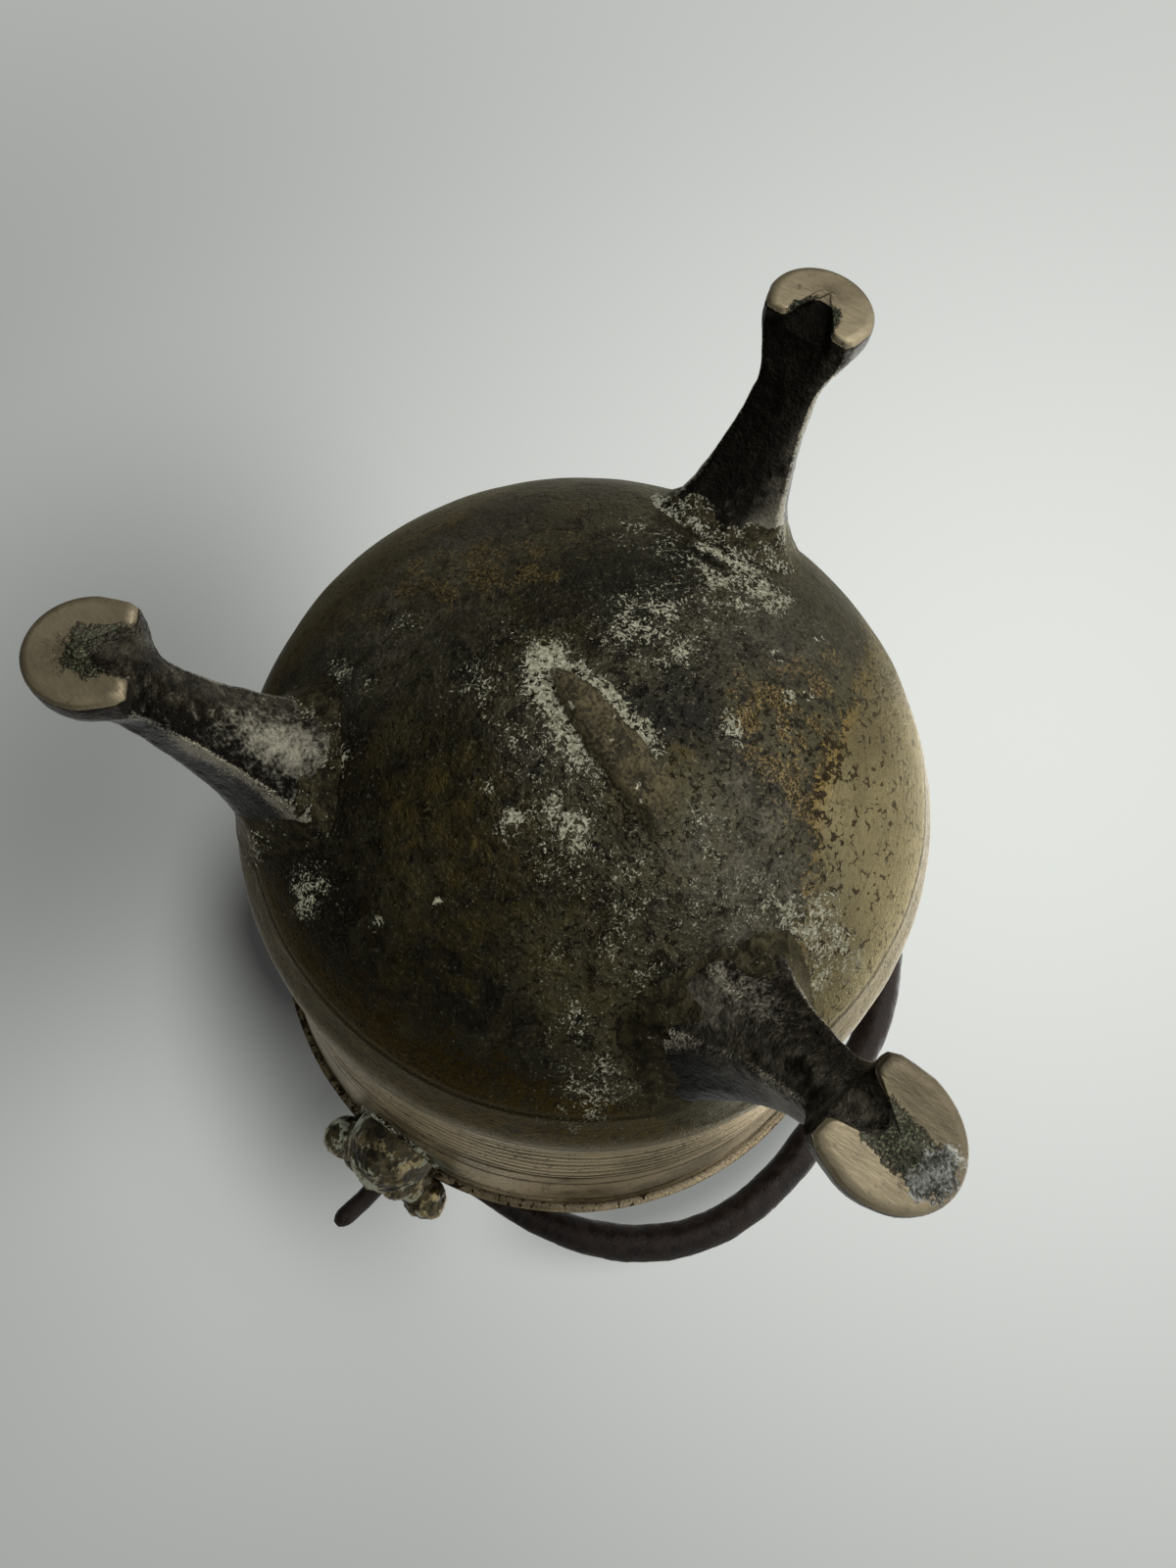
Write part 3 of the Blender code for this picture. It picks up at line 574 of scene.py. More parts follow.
def leg_rows(leg, rings=80):
    """Rings of the leg from the sole up, flaring into the dome and ending in its wall."""
    knee_reach = ANKLE_REACH + (leg["root"] - ANKLE_REACH) * KNEE_SHARE
    keys = np.array([
        (HOOF_HEIGHT, leg["reach"], 0.0, leg["width"], leg["length"]),
        (ANKLE_HEIGHT, ANKLE_REACH, ANKLE_LEAN, ANKLE_WIDTH, ANKLE_THICKNESS),
        (KNEE_HEIGHT, knee_reach, ROOT_LEAN, KNEE_WIDTH, KNEE_THICKNESS),
        (ROOT_HEIGHT, leg["root"], ROOT_LEAN, ROOT_WIDTH, ROOT_THICKNESS),
    ])
    turn = math.radians(leg["angle"])
    rows = []
    for height in (*SOLE_HEIGHTS, *np.linspace(HOOF_HEIGHT, ROOT_HEIGHT, rings)):
        reach, lean, width, thickness = key_curve(keys, max(height, HOOF_HEIGHT))
        hoof = 1 - float(smoothstep(height, HOOF_HEIGHT, ANKLE_HEIGHT))
        inset = SOLE_ROUND * (1 - min(1.0, height / (2 * SOLE_ROUND))) ** 2
        notch = max(0.0, 1 - height / (HOOF_HEIGHT * 1.2)) ** 0.8
        sole = hoof_outline(width - 2 * inset, thickness - 2 * inset, notch, leg["twist"])
        shank = shank_outline(width, thickness)
        flat = sole * hoof + shank * (1 - hoof)
        slope = math.radians(lean)
        shift = leg["shift"] * min(1.0, height / ROOT_HEIGHT)
        x = reach + flat[:, 0] * math.cos(slope)
        spread = leg["spread"] * float(smoothstep(height, *SPREAD_HEIGHTS))
        y = flat[:, 1] + shift + spread * smoothstep(flat[:, 1] * np.sign(leg["spread"]), 0.0, width / 2)
        z = height + flat[:, 0] * math.sin(slope)
        plan = np.outer(x, heading(turn)) + np.outer(y, heading(turn + math.pi / 2))
        rows.append(np.column_stack([plan, z]))
    rows = np.array(rows)
    gap, _ = dome_gap(rows.reshape(-1, 3))
    flare = LEG_FLARE * np.exp(-np.clip(gap, 0, None) / LEG_FLARE_REACH)
    flat = pushed(rows, row_normals(rows), flare).reshape(-1, 3)
    gap, _ = dome_gap(flat)
    return np.where((gap < -LEG_BURIED)[:, None], buried(flat), flat).reshape(rows.shape)


def buried(points):
    """Points drawn onto the dome and then a little into its wall."""
    _, drawn = dome_gap(points)
    drawn = drawn * (1 - LEG_BURIED / np.linalg.norm(drawn, axis=1))[:, None]
    return drawn + np.array([0, 0, BELLY_HEIGHT])


def row_normals(rows):
    """Outward directions over a grid of closed rings."""
    round_way = np.roll(rows, -1, axis=1) - np.roll(rows, 1, axis=1)
    up_way = np.gradient(rows, axis=0)
    normal = np.cross(up_way, round_way)
    middle = rows.mean(axis=1, keepdims=True)
    normal *= np.sign(np.sum(normal * (rows - middle), axis=(1, 2)))[:, None, None]
    return normal / (np.linalg.norm(normal, axis=2, keepdims=True) + 1e-12)


def make_leg(name, leg, looks, seed, material):
    rows = leg_rows(leg)
    count, around = rows.shape[:2]
    flat = rows.reshape(-1, 3)
    gap, _ = dome_gap(flat)
    across = np.tile(np.minimum(np.arange(around) / LEG_FINE - 1, 1.0), count)
    facing = np.tile(np.arange(around) <= 2 * LEG_FINE, count)
    rough = fractal(flat, 0.008, seed, 3) * 0.00026 + fractal(flat, 0.0018, seed + 1, 3) * 0.00009
    rough *= 0.15 + 0.85 * smoothstep(flat[:, 2], 0.0006, 0.004)
    ridge = bell(gap, RIDGE_GAPS[0], 0.0007) + 0.8 * bell(gap, RIDGE_GAPS[1], 0.0008)
    keel = bell(across, 0.2, 0.35) - 0.9 * smoothstep(across, 0.2, 1.0)
    rough += RIDGE_HEIGHT * looks["ridge"] * ridge * facing
    rough += looks["keel"] * keel * facing * smoothstep(flat[:, 2], 0.006, 0.014)
    rough = np.where(gap < 0, 0.0, rough)
    moved = pushed(rows, row_normals(rows), rough)
    moved[:, :, 2] = np.where(rows[:, :, 2] < 0.0005, rows[:, :, 2], moved[:, :, 2])
    rows = moved
    outward = heading(math.radians(leg["angle"])) * leg["length"] * 0.12
    centre = np.append(rows[0].mean(axis=0)[:2] + outward, 0.0)
    root = buried(rows[-1].mean(axis=0)[None])[0]
    sole_rows = [centre + (rows[0] - centre) * share for share in SOLE_SHARES]
    rows = np.concatenate([np.array(sole_rows), rows])
    mesh = skin(rows, poles=(centre, root))
    mask_leg(mesh, leg, looks, np.append(np.tile(np.arange(around), len(rows)), [0, 0]), around)
    place(f"leg_{name}", mesh, material, "leg_bronze")


def mask_leg(mesh, leg, looks, column, around):
    """Tells a leg's finish where it is worn, dark, hazy or crusted, and where its painted sheen and painted
    shade lie.
    """
    points = coordinates(mesh)
    rise = points[:, 2]
    away = np.clip(dome_gap(points)[0], 0, None)
    across = np.minimum(column / LEG_FINE - 1, 3.0)
    inner_face = (column <= 2 * LEG_FINE).astype(float)
    twist = math.radians(leg["twist"])
    turn = math.radians(leg["angle"] + leg["twist"])
    out = points[:, :2] @ heading(turn) - leg["reach"] * math.cos(twist)
    side = points[:, :2] @ heading(turn + math.pi / 2) + leg["reach"] * math.sin(twist)
    lateral = side / ANKLE_WIDTH
    on_sole = smoothstep(-rise, -0.002, -0.0005)

    arris = np.zeros(len(points))
    for corner in (0, 2 * LEG_FINE, 2 * LEG_FINE + 1, around - 1):
        steps = abs(column - corner)
        arris = np.maximum(arris, bell(np.minimum(steps, around - steps), 0, 1.2))
    arris = arris * smoothstep(rise, 0.002, 0.006)
    # Painted highlight along the keel's crest
    keel = bell(across, 0.1, 0.25) * looks["keel"] / KEEL_HEIGHT * bell(away, 0, 0.016)
    ridge = bell(away, RIDGE_GAPS[0], 0.0008) + bell(away, RIDGE_GAPS[1], 0.0009)
    middle, half_length, half_width = looks["crust"]
    crust = np.exp(-((out - middle) / half_length) ** 4 - (side / half_width) ** 4)
    # Painted sheen on the inner face, strongest near the root
    near_root = 0.22 + 0.62 * bell(across, -0.1, 0.55) * bell(away, 0.009, 0.010)
    # Painted shade in the hollow beside the root
    hollow = looks["hollow"] * smoothstep(rise, 0.024, 0.036) * smoothstep(lateral, -0.05, 0.45)
    haze = looks["haze"] * smoothstep(lateral, looks["haze_from"], looks["haze_from"] + 0.4)
    smear = bell(out, 0.30 * leg["length"], 0.0035) * bell(side, 0, 0.0055)
    # Painted shade on the leg's underside
    shaded_underside = smoothstep(-lateral, 0.15, 0.45) * smoothstep(rise, 0.003, 0.008)
    add_masks(mesh, {
        "sole": smoothstep(-rise, -0.0012, -0.0004),
        # Bright edges and ridges: wear, with the painted highlight along the keel's crest
        "arris": np.maximum(np.maximum(arris, keel), ridge * looks["ridge"] * inner_face),
        "crust": crust * on_sole,
        "face": inner_face * looks["painted_sheen"] * near_root,
        "haze": haze * (1 - hollow),
        "smear": looks["smear"] * smear * on_sole,
        # Darkness of the whole leg, with the painted shade on its underside and beside the root
        "black": np.clip(looks["black"] + looks["under"] * shaded_underside + hollow, 0, 1),
        "dim": looks["dim"] * smoothstep(-side / leg["width"], -0.15, 0.30),
        "root": looks["chalk"] * bell(away, 0, 0.0045),
    })


# Brazing round a leg: steps from the leg to the dome, how far it runs out on the dome and how unevenly
COLLAR_STEPS = 10
COLLAR_SPREAD = 0.0042
COLLAR_UNEVEN = 0.0022
# Rings of the leg that it climbs, and how unevenly; and the rings at the sole that it never reaches
COLLAR_CLIMB = 24
COLLAR_CLIMB_UNEVEN = 12
COLLAR_LOWEST = 8


def dome_height(radius, low, high):
    """Height at which the bowl's outside has a radius, searched between two heights."""
    for _ in range(40):
        half = (low + high) / 2
        if outer_radius(half) < radius:
            low = half
        else:
            high = half
    return low


def make_collar(name, leg, seed, material):
    """Uneven fillet of brazing metal where a leg meets the dome."""
    rows = leg_rows(leg, rings=220)
    normal = row_normals(rows)
    count, around = rows.shape[:2]
    profile = []
    for j in range(around):
        line = rows[:, j]
        sunk = (i for i in range(COLLAR_LOWEST, count) if math.hypot(*line[i, :2]) < outer_radius(line[i, 2]))
        hit = next(sunk, count - 1)
        wobble = wave(j * 0.21, seed * 3.3, 0.5)
        climb = max(COLLAR_LOWEST, hit - int(COLLAR_CLIMB + COLLAR_CLIMB_UNEVEN * wobble))
        start = line[climb] - normal[climb, j] * 0.0002
        middle = line[hit] + normal[hit, j] * 0.0005
        spread = COLLAR_SPREAD + COLLAR_UNEVEN * wave(j * 0.17, seed * 5.1, 2.5)
        foot = line[hit, :2] + normal[hit, j, :2] * spread
        reach = math.hypot(*foot)
        height = dome_height(reach, BASE_HEIGHT, line[hit, 2] + 1.5 * spread)
        foot *= min(1.0, (outer_radius(height) + 0.0001) / reach)
        profile.append((start, middle, np.array([*foot, height + 0.0003])))
    shares = [step / COLLAR_STEPS for step in range(COLLAR_STEPS + 1)]
    rings = [[(1 - t) ** 2 * a + 2 * t * (1 - t) * b + t * t * c for a, b, c in profile] for t in shares]
    rings = np.array(rings)
    flat = rings.reshape(-1, 3)
    ripple = fractal(flat, 0.0035, seed, 3) * 0.0004 + fractal(flat, 0.0012, seed + 7, 2) * 0.00015
    ripple = np.abs(ripple) * np.repeat(np.sin(np.linspace(0, math.pi, COLLAR_STEPS + 1)) ** 0.7, around)
    mesh = skin(pushed(rings, row_normals(rings), ripple))
    add_masks(mesh, {"chalk": np.full(len(mesh.vertices), LEG_LOOKS[name]["chalk"])})
    place(f"leg_braze_{name}", mesh, material, "braze")


# Lugs


def ball(bm, centre, radii, tilt):
    found = bmesh.ops.create_icosphere(bm, subdivisions=3, radius=1.0)["verts"]
    bmesh.ops.scale(bm, vec=radii, verts=found)
    bmesh.ops.rotate(bm, cent=(0, 0, 0), matrix=Matrix.Rotation(tilt, 3, "X"), verts=found)
    bmesh.ops.translate(bm, vec=centre, verts=found)


def eye_plate(bm):
    """Plate with a round head and its eye, as a ring of quads round the hinge axis."""
    count = 64
    half = EYE_PLATE_WIDTH / 2
    loops = []
    for x, hole in ((PLATE_INNER, False), (PLATE_INNER + EYE_PLATE_THICKNESS, False),
                    (PLATE_INNER + EYE_PLATE_THICKNESS, True), (PLATE_INNER, True)):
        loop = []
        for i in range(count):
            angle = i / count * 2 * math.pi
            c, s = math.cos(angle), math.sin(angle)
            reach = EYE_RADIUS
            if not hole:
                reach = half
                if s < 0:
                    reach = min(half / max(abs(c), 1e-6), EYE_PLATE_DROP / max(-s, 1e-6))
            loop.append(bm.verts.new((x, reach * c, HINGE_HEIGHT + reach * s)))
        loops.append(loop)
    for k in range(4):
        here, there = loops[k], loops[(k + 1) % 4]
        for i in range(count):
            j = (i + 1) % count
            bm.faces.new((here[i], here[j], there[j], there[i]))


# Swellings of a lug for the +X side: middle, half sizes and tilt, in millimetres beyond the rim's radius and
# below the hinge axis, and degrees; one that lies off the middle has a twin on the other side
LUG_LUMPS = [
    ((-2.6, 0.0, -23.5), (13.1, 12.0, 16.4), 0), ((3.7, 0.0, -11.8), (6.5, 16.4, 5.7), 0),
    ((4.5, -14.0, -10.0), (6.0, 6.0, 6.6), 0), ((6.6, 0.0, -17.5), (4.6, 3.6, 7.0), 0),
    ((6.0, -5.8, -14.6), (4.4, 4.8, 2.6), 18), ((5.4, -6.6, -21.5), (4.4, 4.2, 5.0), 0),
    ((5.0, 0.0, -27.0), (4.8, 6.6, 2.6), 0), ((3.0, 0.0, -33.0), (5.6, 4.6, 6.5), 0),
    ((2.6, -10.5, -17.0), (5.0, 3.4, 6.4), 14),
]
LUG_VOXEL = 0.00045
# How far out from the axis the lug's relief is full
LUG_ROUGH_FROM = 0.0885
# Brazing round a lug's foot: half width, half height, bead, and how far its middle lies below the hinge axis
SEAM_HALF_WIDTH = 0.0122
SEAM_HALF_HEIGHT = 0.0166
SEAM_BEAD = 0.0011
SEAM_DROP = 0.0235
SEAM_BELOW_RIM = 0.0035


def make_lug(name, turn, seed, material):
    bm = bmesh.new()
    eye_plate(bm)
    for (x, y, z), radii, tilt in LUG_LUMPS:
        for side in (1, -1) if y else (1,):
            centre = (RIM_RADIUS + x / 1000, side * y / 1000, HINGE_HEIGHT + z / 1000)
            ball(bm, centre, [r / 1000 for r in radii], math.radians(side * tilt))
    bmesh.ops.recalc_face_normals(bm, faces=bm.faces)
    rough_mesh = bpy.data.meshes.new(f"lug_{name}_rough")
    bm.to_mesh(rough_mesh)
    bm.free()
    maker = bpy.data.objects.new(f"lug_{name}_rough", rough_mesh)
    bpy.context.collection.objects.link(maker)
    remesh = maker.modifiers.new("union", "REMESH")
    remesh.mode = "VOXEL"
    remesh.voxel_size = LUG_VOXEL
    mesh = bpy.data.meshes.new_from_object(maker.evaluated_get(bpy.context.evaluated_depsgraph_get()))
    bpy.data.objects.remove(maker, do_unlink=True)
    bpy.data.meshes.remove(rough_mesh)
    points = coordinates(mesh)
    normals = np.array([v.normal[:] for v in mesh.vertices])
    lump = fractal(points, 0.0042, seed, 3)
    grain = fractal(points, 0.0012, seed + 1, 3)
    eye_far = np.hypot(points[:, 1], points[:, 2] - HINGE_HEIGHT)
    free = smoothstep(eye_far, EYE_RADIUS * 1.15, EYE_RADIUS * 2.2)
    free = free * smoothstep(points[:, 0], PLATE_INNER, LUG_ROUGH_FROM)
    depth = lump * 0.0008 + grain * 0.00022
    points = points + normals * (depth * (0.12 + 0.88 * free))[:, None]
    points[:, 2] = np.minimum(points[:, 2], HINGE_HEIGHT + EYE_PLATE_WIDTH / 2)
    wall = np.array([outer_radius(z) for z in points[:, 2]]) - WALL_THICKNESS / 2
    reach = np.hypot(points[:, 0], points[:, 1])
    pull = np.where((points[:, 2] < RIM_HEIGHT - 0.001) & (reach < wall), wall / reach, 1.0)
    points[:, :2] *= pull[:, None]
    spin = np.array(Matrix.Rotation(turn, 3, "Z"))
    mesh.vertices.foreach_set("co", (points @ spin.T).ravel())
    mesh.update()
    mesh.shade_smooth()
    # Raised lumps, which the finish gives wear with a painted highlight and a green crust
    add_masks(mesh, {"ridge": np.clip(0.5 + 0.9 * lump + 0.35 * grain, 0, 1)})
    place(f"lug_{name}", mesh, material, "lug_bronze")


def make_seam(name, turn, seed, material):
    """Uneven bead of brazing metal round a lug's foot on the wall."""
    count, around = 8, 120
    rings = []
    for k in range(count):
        bead = k / (count - 1) * 2 * math.pi
        ring = []
        for j in range(around):
            angle = j / around * 2 * math.pi
            wobble = 1 + 0.07 * wave(math.cos(angle) * 2, math.sin(angle) * 2, seed)
            side = (SEAM_HALF_WIDTH * wobble + SEAM_BEAD * math.cos(bead)) * math.cos(angle)
            rise = (SEAM_HALF_HEIGHT * wobble + SEAM_BEAD * math.cos(bead)) * math.sin(angle)
            height = min(HINGE_HEIGHT - SEAM_DROP + rise, RIM_HEIGHT - SEAM_BELOW_RIM)
            radius = outer_radius(height) + SEAM_BEAD * math.sin(bead)
            out = math.sqrt(max(radius ** 2 - side ** 2, 0.0))
            ring.append((out, side, height))
        rings.append(ring)
    rings = np.array(rings)
    flat = rings.reshape(-1, 3)
    rings = pushed(rings, row_normals(rings), fractal(flat, 0.003, seed, 3) * 0.0003)
    mesh = skin(rings @ np.array(Matrix.Rotation(turn, 3, "Z")).T)
    add_masks(mesh, {"chalk": np.full(len(mesh.vertices), 0.5)})
    place(f"lug_braze_{name}", mesh, material, "braze")


# Bail


# How the bail's ends round off, ring by ring, how strongly it is hammered, and how far its dents sink it
BAIL_END_SHARES = (0.45, 0.78, 0.93, 1.0)
BAIL_HAMMERED = 0.018
BAIL_SINK = 0.0002


def bail_path():
    """Points (along the hinge, away from it) from one bent tip to the other."""
    tip = math.radians(PIN_TIP_ANGLE)
    points = []
    for i in range(9):
        reach = PIN_TIP_LENGTH * (1 - i / 10)
        points.append((PIN_END + reach * math.cos(tip), reach * math.sin(tip)))
    points.append((PIN_END - PIN_RADIUS, 0.0))
    bend = BAIL_HALF_SPAN + PIN_BEND_RADIUS
    for i in range(1, 5):
        points.append((PIN_END - PIN_RADIUS + (bend - PIN_END + PIN_RADIUS) * i / 5, 0.0))
    for i in range(13):
        angle = i / 12 * math.pi / 2
        points.append((bend - PIN_BEND_RADIUS * math.sin(angle), PIN_BEND_RADIUS * (1 - math.cos(angle))))
    steps = 90
    power = 2 / BAIL_SQUARENESS
    for i in range(1, steps + 1):
        angle = i / steps * math.pi / 2
        along = BAIL_HALF_SPAN * math.cos(angle) ** power if i < steps else 0.0
        points.append((along, PIN_BEND_RADIUS + (BAIL_DEPTH - PIN_BEND_RADIUS) * math.sin(angle) ** power))
    return points + [(-along, away) for along, away in reversed(points[:-1])]


def make_bail(material):
    path = bail_path()
    centres = np.array([(along, -away, HINGE_HEIGHT) for along, away in path])
    ahead = np.gradient(centres, axis=0)
    ahead /= np.linalg.norm(ahead, axis=1)[:, None]
    upward = np.array([0.0, 0.0, 1.0])
    sides = np.cross(upward, ahead)
    around = 36
    rows = []
    for i, centre in enumerate(centres):
        share = float(smoothstep(path[i][1] / BAIL_TAPER_REACH))
        radius = PIN_RADIUS + (BAIL_ROD_RADIUS - PIN_RADIUS) * share
        end = min(i, len(centres) - 1 - i)
        radius *= BAIL_END_SHARES[min(end, len(BAIL_END_SHARES) - 1)]
        ring = []
        for k in range(around):
            angle = k / around * 2 * math.pi
            hammered = 1 + BAIL_HAMMERED * math.cos(4 * angle + 2.2 * wave(i * 0.06, 1.0, 0.0))
            way = math.cos(angle) * sides[i] + math.sin(angle) * upward
            ring.append(centre + radius * hammered * way)
        rows.append(ring)
    rows = np.array(rows)
    flat = rows.reshape(-1, 3)
    away = rows - centres[:, None]
    away /= np.linalg.norm(away, axis=2)[..., None]
    dents = fractal(flat, 0.009, 61, 3) * 0.00028 + fractal(flat, 0.0022, 62, 3) * 0.00008
    mesh = skin(pushed(rows, away, dents - BAIL_SINK), capped=True)
    place("bail", mesh, material, "bail_iron", "bail")


# Finishes


class Value:
    """Output of a node, with the usual arithmetic."""

    def __init__(self, nodes, socket):
        self.nodes = nodes
        self.socket = socket

    def __add__(self, other):
        return self.nodes.math("ADD", self, other)

    def __sub__(self, other):
        return self.nodes.math("SUBTRACT", self, other)

    def __rsub__(self, other):
        return self.nodes.math("SUBTRACT", other, self)

    def __mul__(self, other):
        return self.nodes.math("MULTIPLY", self, other)


class Nodes:
    """A node tree under construction, with short ways to add its nodes."""

    def __init__(self, tree):
        self.tree = tree

    def feed(self, socket, value):
        if isinstance(value, Value):
            self.tree.links.new(value.socket, socket)
        elif socket.type == "RGBA":
            socket.default_value = (*value, 1.0)
        else:
            socket.default_value = value

    def node(self, kind, inputs, output=0, **settings):
        """Adds a node, feeds its inputs and gives one of its outputs, all by name or number."""
        node = self.tree.nodes.new("ShaderNode" + kind)
        for key, value in settings.items():
            setattr(node, key, value)
        for key, value in inputs.items():
            self.feed(node.inputs[key], value)
        return None if output is None else Value(self, node.outputs[output])

    def math(self, operation, a, b=0.0):
        return self.node("Math", {0: a, 1: b}, operation=operation)

    def most(self, value, *others):
        for other in others:
            value = self.math("MAXIMUM", value, other)
        return value

    def ramp(self, value, low, high, out_low=0.0, out_high=1.0, kind="LINEAR"):
        inputs = {"Value": value, "From Min": low, "From Max": high, "To Min": out_low, "To Max": out_high}
        return self.node("MapRange", inputs, interpolation_type=kind)

    def step(self, value, low, high, out_low=0.0, out_high=1.0):
        return self.ramp(value, low, high, out_low, out_high, "SMOOTHSTEP")

    def mix(self, a, b, share):
        return self.node("Mix", {0: share, 2: a, 3: b}, data_type="FLOAT")

    def coats(self, colour, *coats):
        """A colour with others over it, each with its share."""
        for coat, share in coats:
            colour = self.node("Mix", {0: share, 6: colour, 7: coat}, 2, data_type="RGBA")
        return colour


class Finish(Nodes):
    """A metal finish, with patterns laid over the part."""

    def __init__(self, name):
        self.material = bpy.data.materials.new(name)
        self.material.use_nodes = True
        super().__init__(self.material.node_tree)
        self.shader = self.tree.nodes["Principled BSDF"]
        self.place = self.node("TexCoord", {}, "Object")

    def mask(self, name):
        return self.node("Attribute", {}, "Fac", attribute_name=name)

    def stretched(self, scale):
        return self.node("Mapping", {"Vector": self.place, "Scale": scale})

    def noise(self, scale, detail, roughness, vector=None, distortion=0.0):
        inputs = {"Vector": vector or self.place, "Scale": scale, "Detail": detail, "Roughness": roughness,
                  "Distortion": distortion}
        return self.node("TexNoise", inputs, "Fac")

    def broken(self, mask, coarse, fine, low, high, coarse_share, fine_share):
        """A mask whose edge is broken up by two noises."""
        return self.step(mask + (coarse - 0.5) * coarse_share + (fine - 0.5) * fine_share, low, high)

    def flecks(self, density, grain, low=0.0, high=0.05):
        """Fine flecks whose cover follows a density of 0 to 1."""
        return self.step(grain + density * 0.5 - 0.74, low, high)

    def lace(self, density):
        """Crust that is a net of veins where it is thin, and a sheet with holes where it is thick."""
        vein = self.noise(640, 3, 0.55, distortion=0.7)
        crumb = self.noise(1900, 5, 0.72)
        hole = self.math("ABSOLUTE", vein - 0.5) * 2.2
        return self.step(density * 0.62 - hole + (crumb - 0.66), 0.0, 0.035)

    def finish(self, colour, metallic, roughness, height, strength, distance):
        bump = self.node("Bump", {"Strength": strength, "Distance": distance, "Height": height})
        inputs = {"Base Color": colour, "Metallic": metallic, "Roughness": roughness, "Normal": bump}
        for key, value in inputs.items():
            self.feed(self.shader.inputs[key], value)
        return self.material


# Tint of brass's shine at a flat angle
BRASS_SHEEN = (0.90, 0.84, 0.70)


def bowl_finish():
    f = Finish("bowl_brass_looks")
    big = f.noise(42, 4, 0.6)
    mid = f.noise(230, 5, 0.62, distortion=0.6)
    mid_b = f.noise(310, 5, 0.65, f.stretched((1.0, 1.0, 1.4)), 0.8)
    grit = f.noise(820, 3, 0.6, distortion=0.4)
    fine = f.noise(1300, 4, 0.6)
    pepper = f.noise(2600, 3, 0.6)
    streak = f.noise(1.0, 5, 0.65, f.stretched((60, 60, 420)), 0.6)
    turned = f.noise(1.0, 3, 0.7, f.stretched((14, 14, 1900)))
    pit_noise = f.noise(560, 3, 0.55, distortion=0.9)

    # Dark skin of the dome, with its stains
    amber = f.flecks(f.mask("amber"), f.mix(mid_b, fine, 0.6), -0.08, 0.14)
    rust_share = f.step(f.mix(pepper, fine, 0.5), 0.46, 0.58)
    patina = f.coats(
        (0.020, 0.0185, 0.0130),
        ((0.060, 0.054, 0.031), f.step(big, 0.40, 0.62)),
        ((0.011, 0.009, 0.007), f.step(mid, 0.52, 0.62)),
        ((0.150, 0.134, 0.086), f.step(fine, 0.585, 0.65, 0.0, 0.7)),
        ((0.006, 0.005, 0.004), f.step(grit, 0.57, 0.61, 0.0, 0.85)),
        ((0.112, 0.082, 0.024), f.mask("ochre") * f.step(mid_b, 0.32, 0.66) * 0.8),
        ((0.011, 0.011, 0.010), f.mask("soot") * f.step(mid, 0.40, 0.50)),
        ((0.135, 0.120, 0.085), f.mask("haze") * f.step(f.mix(mid, fine, 0.5), 0.40, 0.58)),
        (f.coats((0.024, 0.016, 0.008), ((0.230, 0.158, 0.062), rust_share)), amber * 0.75))

    # Bare brass at the dome's edge and on the wall, with turned lines and pits, reed crests polished and
    # given a painted highlight, and cut lines dark with dirt and painted shade
    ragged = (streak - 0.5) * 1.3 + f.mask("bare")
    bare = f.broken(ragged, mid, f.mix(fine, pepper, 0.5), 0.44, 0.58, 1.1, 1.7)
    crowd = (1.0 - f.mask("bare")) * 0.16 + 0.012 - f.mask("polish") * f.step(big, 0.62, 0.40, 0.0, 0.07)
    pit = f.step(pit_noise + crowd, 0.600, 0.635)
    wall = f.coats(
        (0.42, 0.318, 0.196),
        ((0.15, 0.110, 0.062), f.step(big, 0.42, 0.62)),
        # Reed crests: polish with a painted highlight
        ((0.74, 0.59, 0.39), f.mask("crest") * f.step(turned, 0.62, 0.40, 0.2, 0.9)))
    pale = f.coats((0.168, 0.139, 0.072), ((0.104, 0.084, 0.043), f.step(big, 0.40, 0.68)))
    brass = f.coats(
        (0.190, 0.128, 0.042),
        (pale, f.step(f.mask("bare"), 0.45, 0.85)),
        ((0.050, 0.032, 0.007), f.mask("golden")),
        # Polished wall, less so under the painted shade
        (wall, f.mask("polish")),
        ((0.060, 0.046, 0.026), f.step(turned, 0.54, 0.72, 0.0, 0.5)),
        # Dark cut lines: dirt with painted shade
        ((0.012, 0.009, 0.006), f.mask("cut")),
        ((0.028, 0.019, 0.010), pit))

    # Lime, green about the lugs, and the casting scar
    lime = f.lace(f.mask("lime"))
    green = f.flecks(f.mask("verdigris"), f.mix(mid_b, fine, 0.4), -0.03, 0.08)
    chalk = f.coats((0.30, 0.285, 0.195), ((0.62, 0.60, 0.455), f.step(fine, 0.40, 0.62)))
    scar = f.coats(
        (0.034, 0.027, 0.015),
        ((0.140, 0.112, 0.056), f.step(f.mix(mid, fine, 0.6), 0.43, 0.57)),
        (chalk, f.step(f.noise(420, 2, 0.5), 0.70, 0.73)))
    colour = f.coats(
        patina,
        (brass, bare),
        (chalk, lime * 0.88),
        ((0.105, 0.135, 0.10), green * 0.75),
        (scar, f.mask("scar") * 0.92))

    matte = f.most(lime, green, f.mask("scar") * 0.6, f.mask("haze") * 0.5)
    f.feed(f.shader.inputs["Specular Tint"], BRASS_SHEEN)
    metallic = f.mix(f.mix(0.9, 1.0, bare), 0.0, matte)
    rough = f.mix(f.mix(0.34, 0.30, bare), 0.85, matte) + (fine - 0.5) * 0.25
    height = fine * 0.5 + lime * 0.8 - f.step(grit, 0.56, 0.64) * (0.8 - bare) - pit * bare * 0.9
    height = height + turned * 0.35 + f.mix(mid, f.mix(mid, 0.5, 0.7), bare) * 1.5
    return f.finish(colour, metallic, rough, height, 0.75, 0.0007)


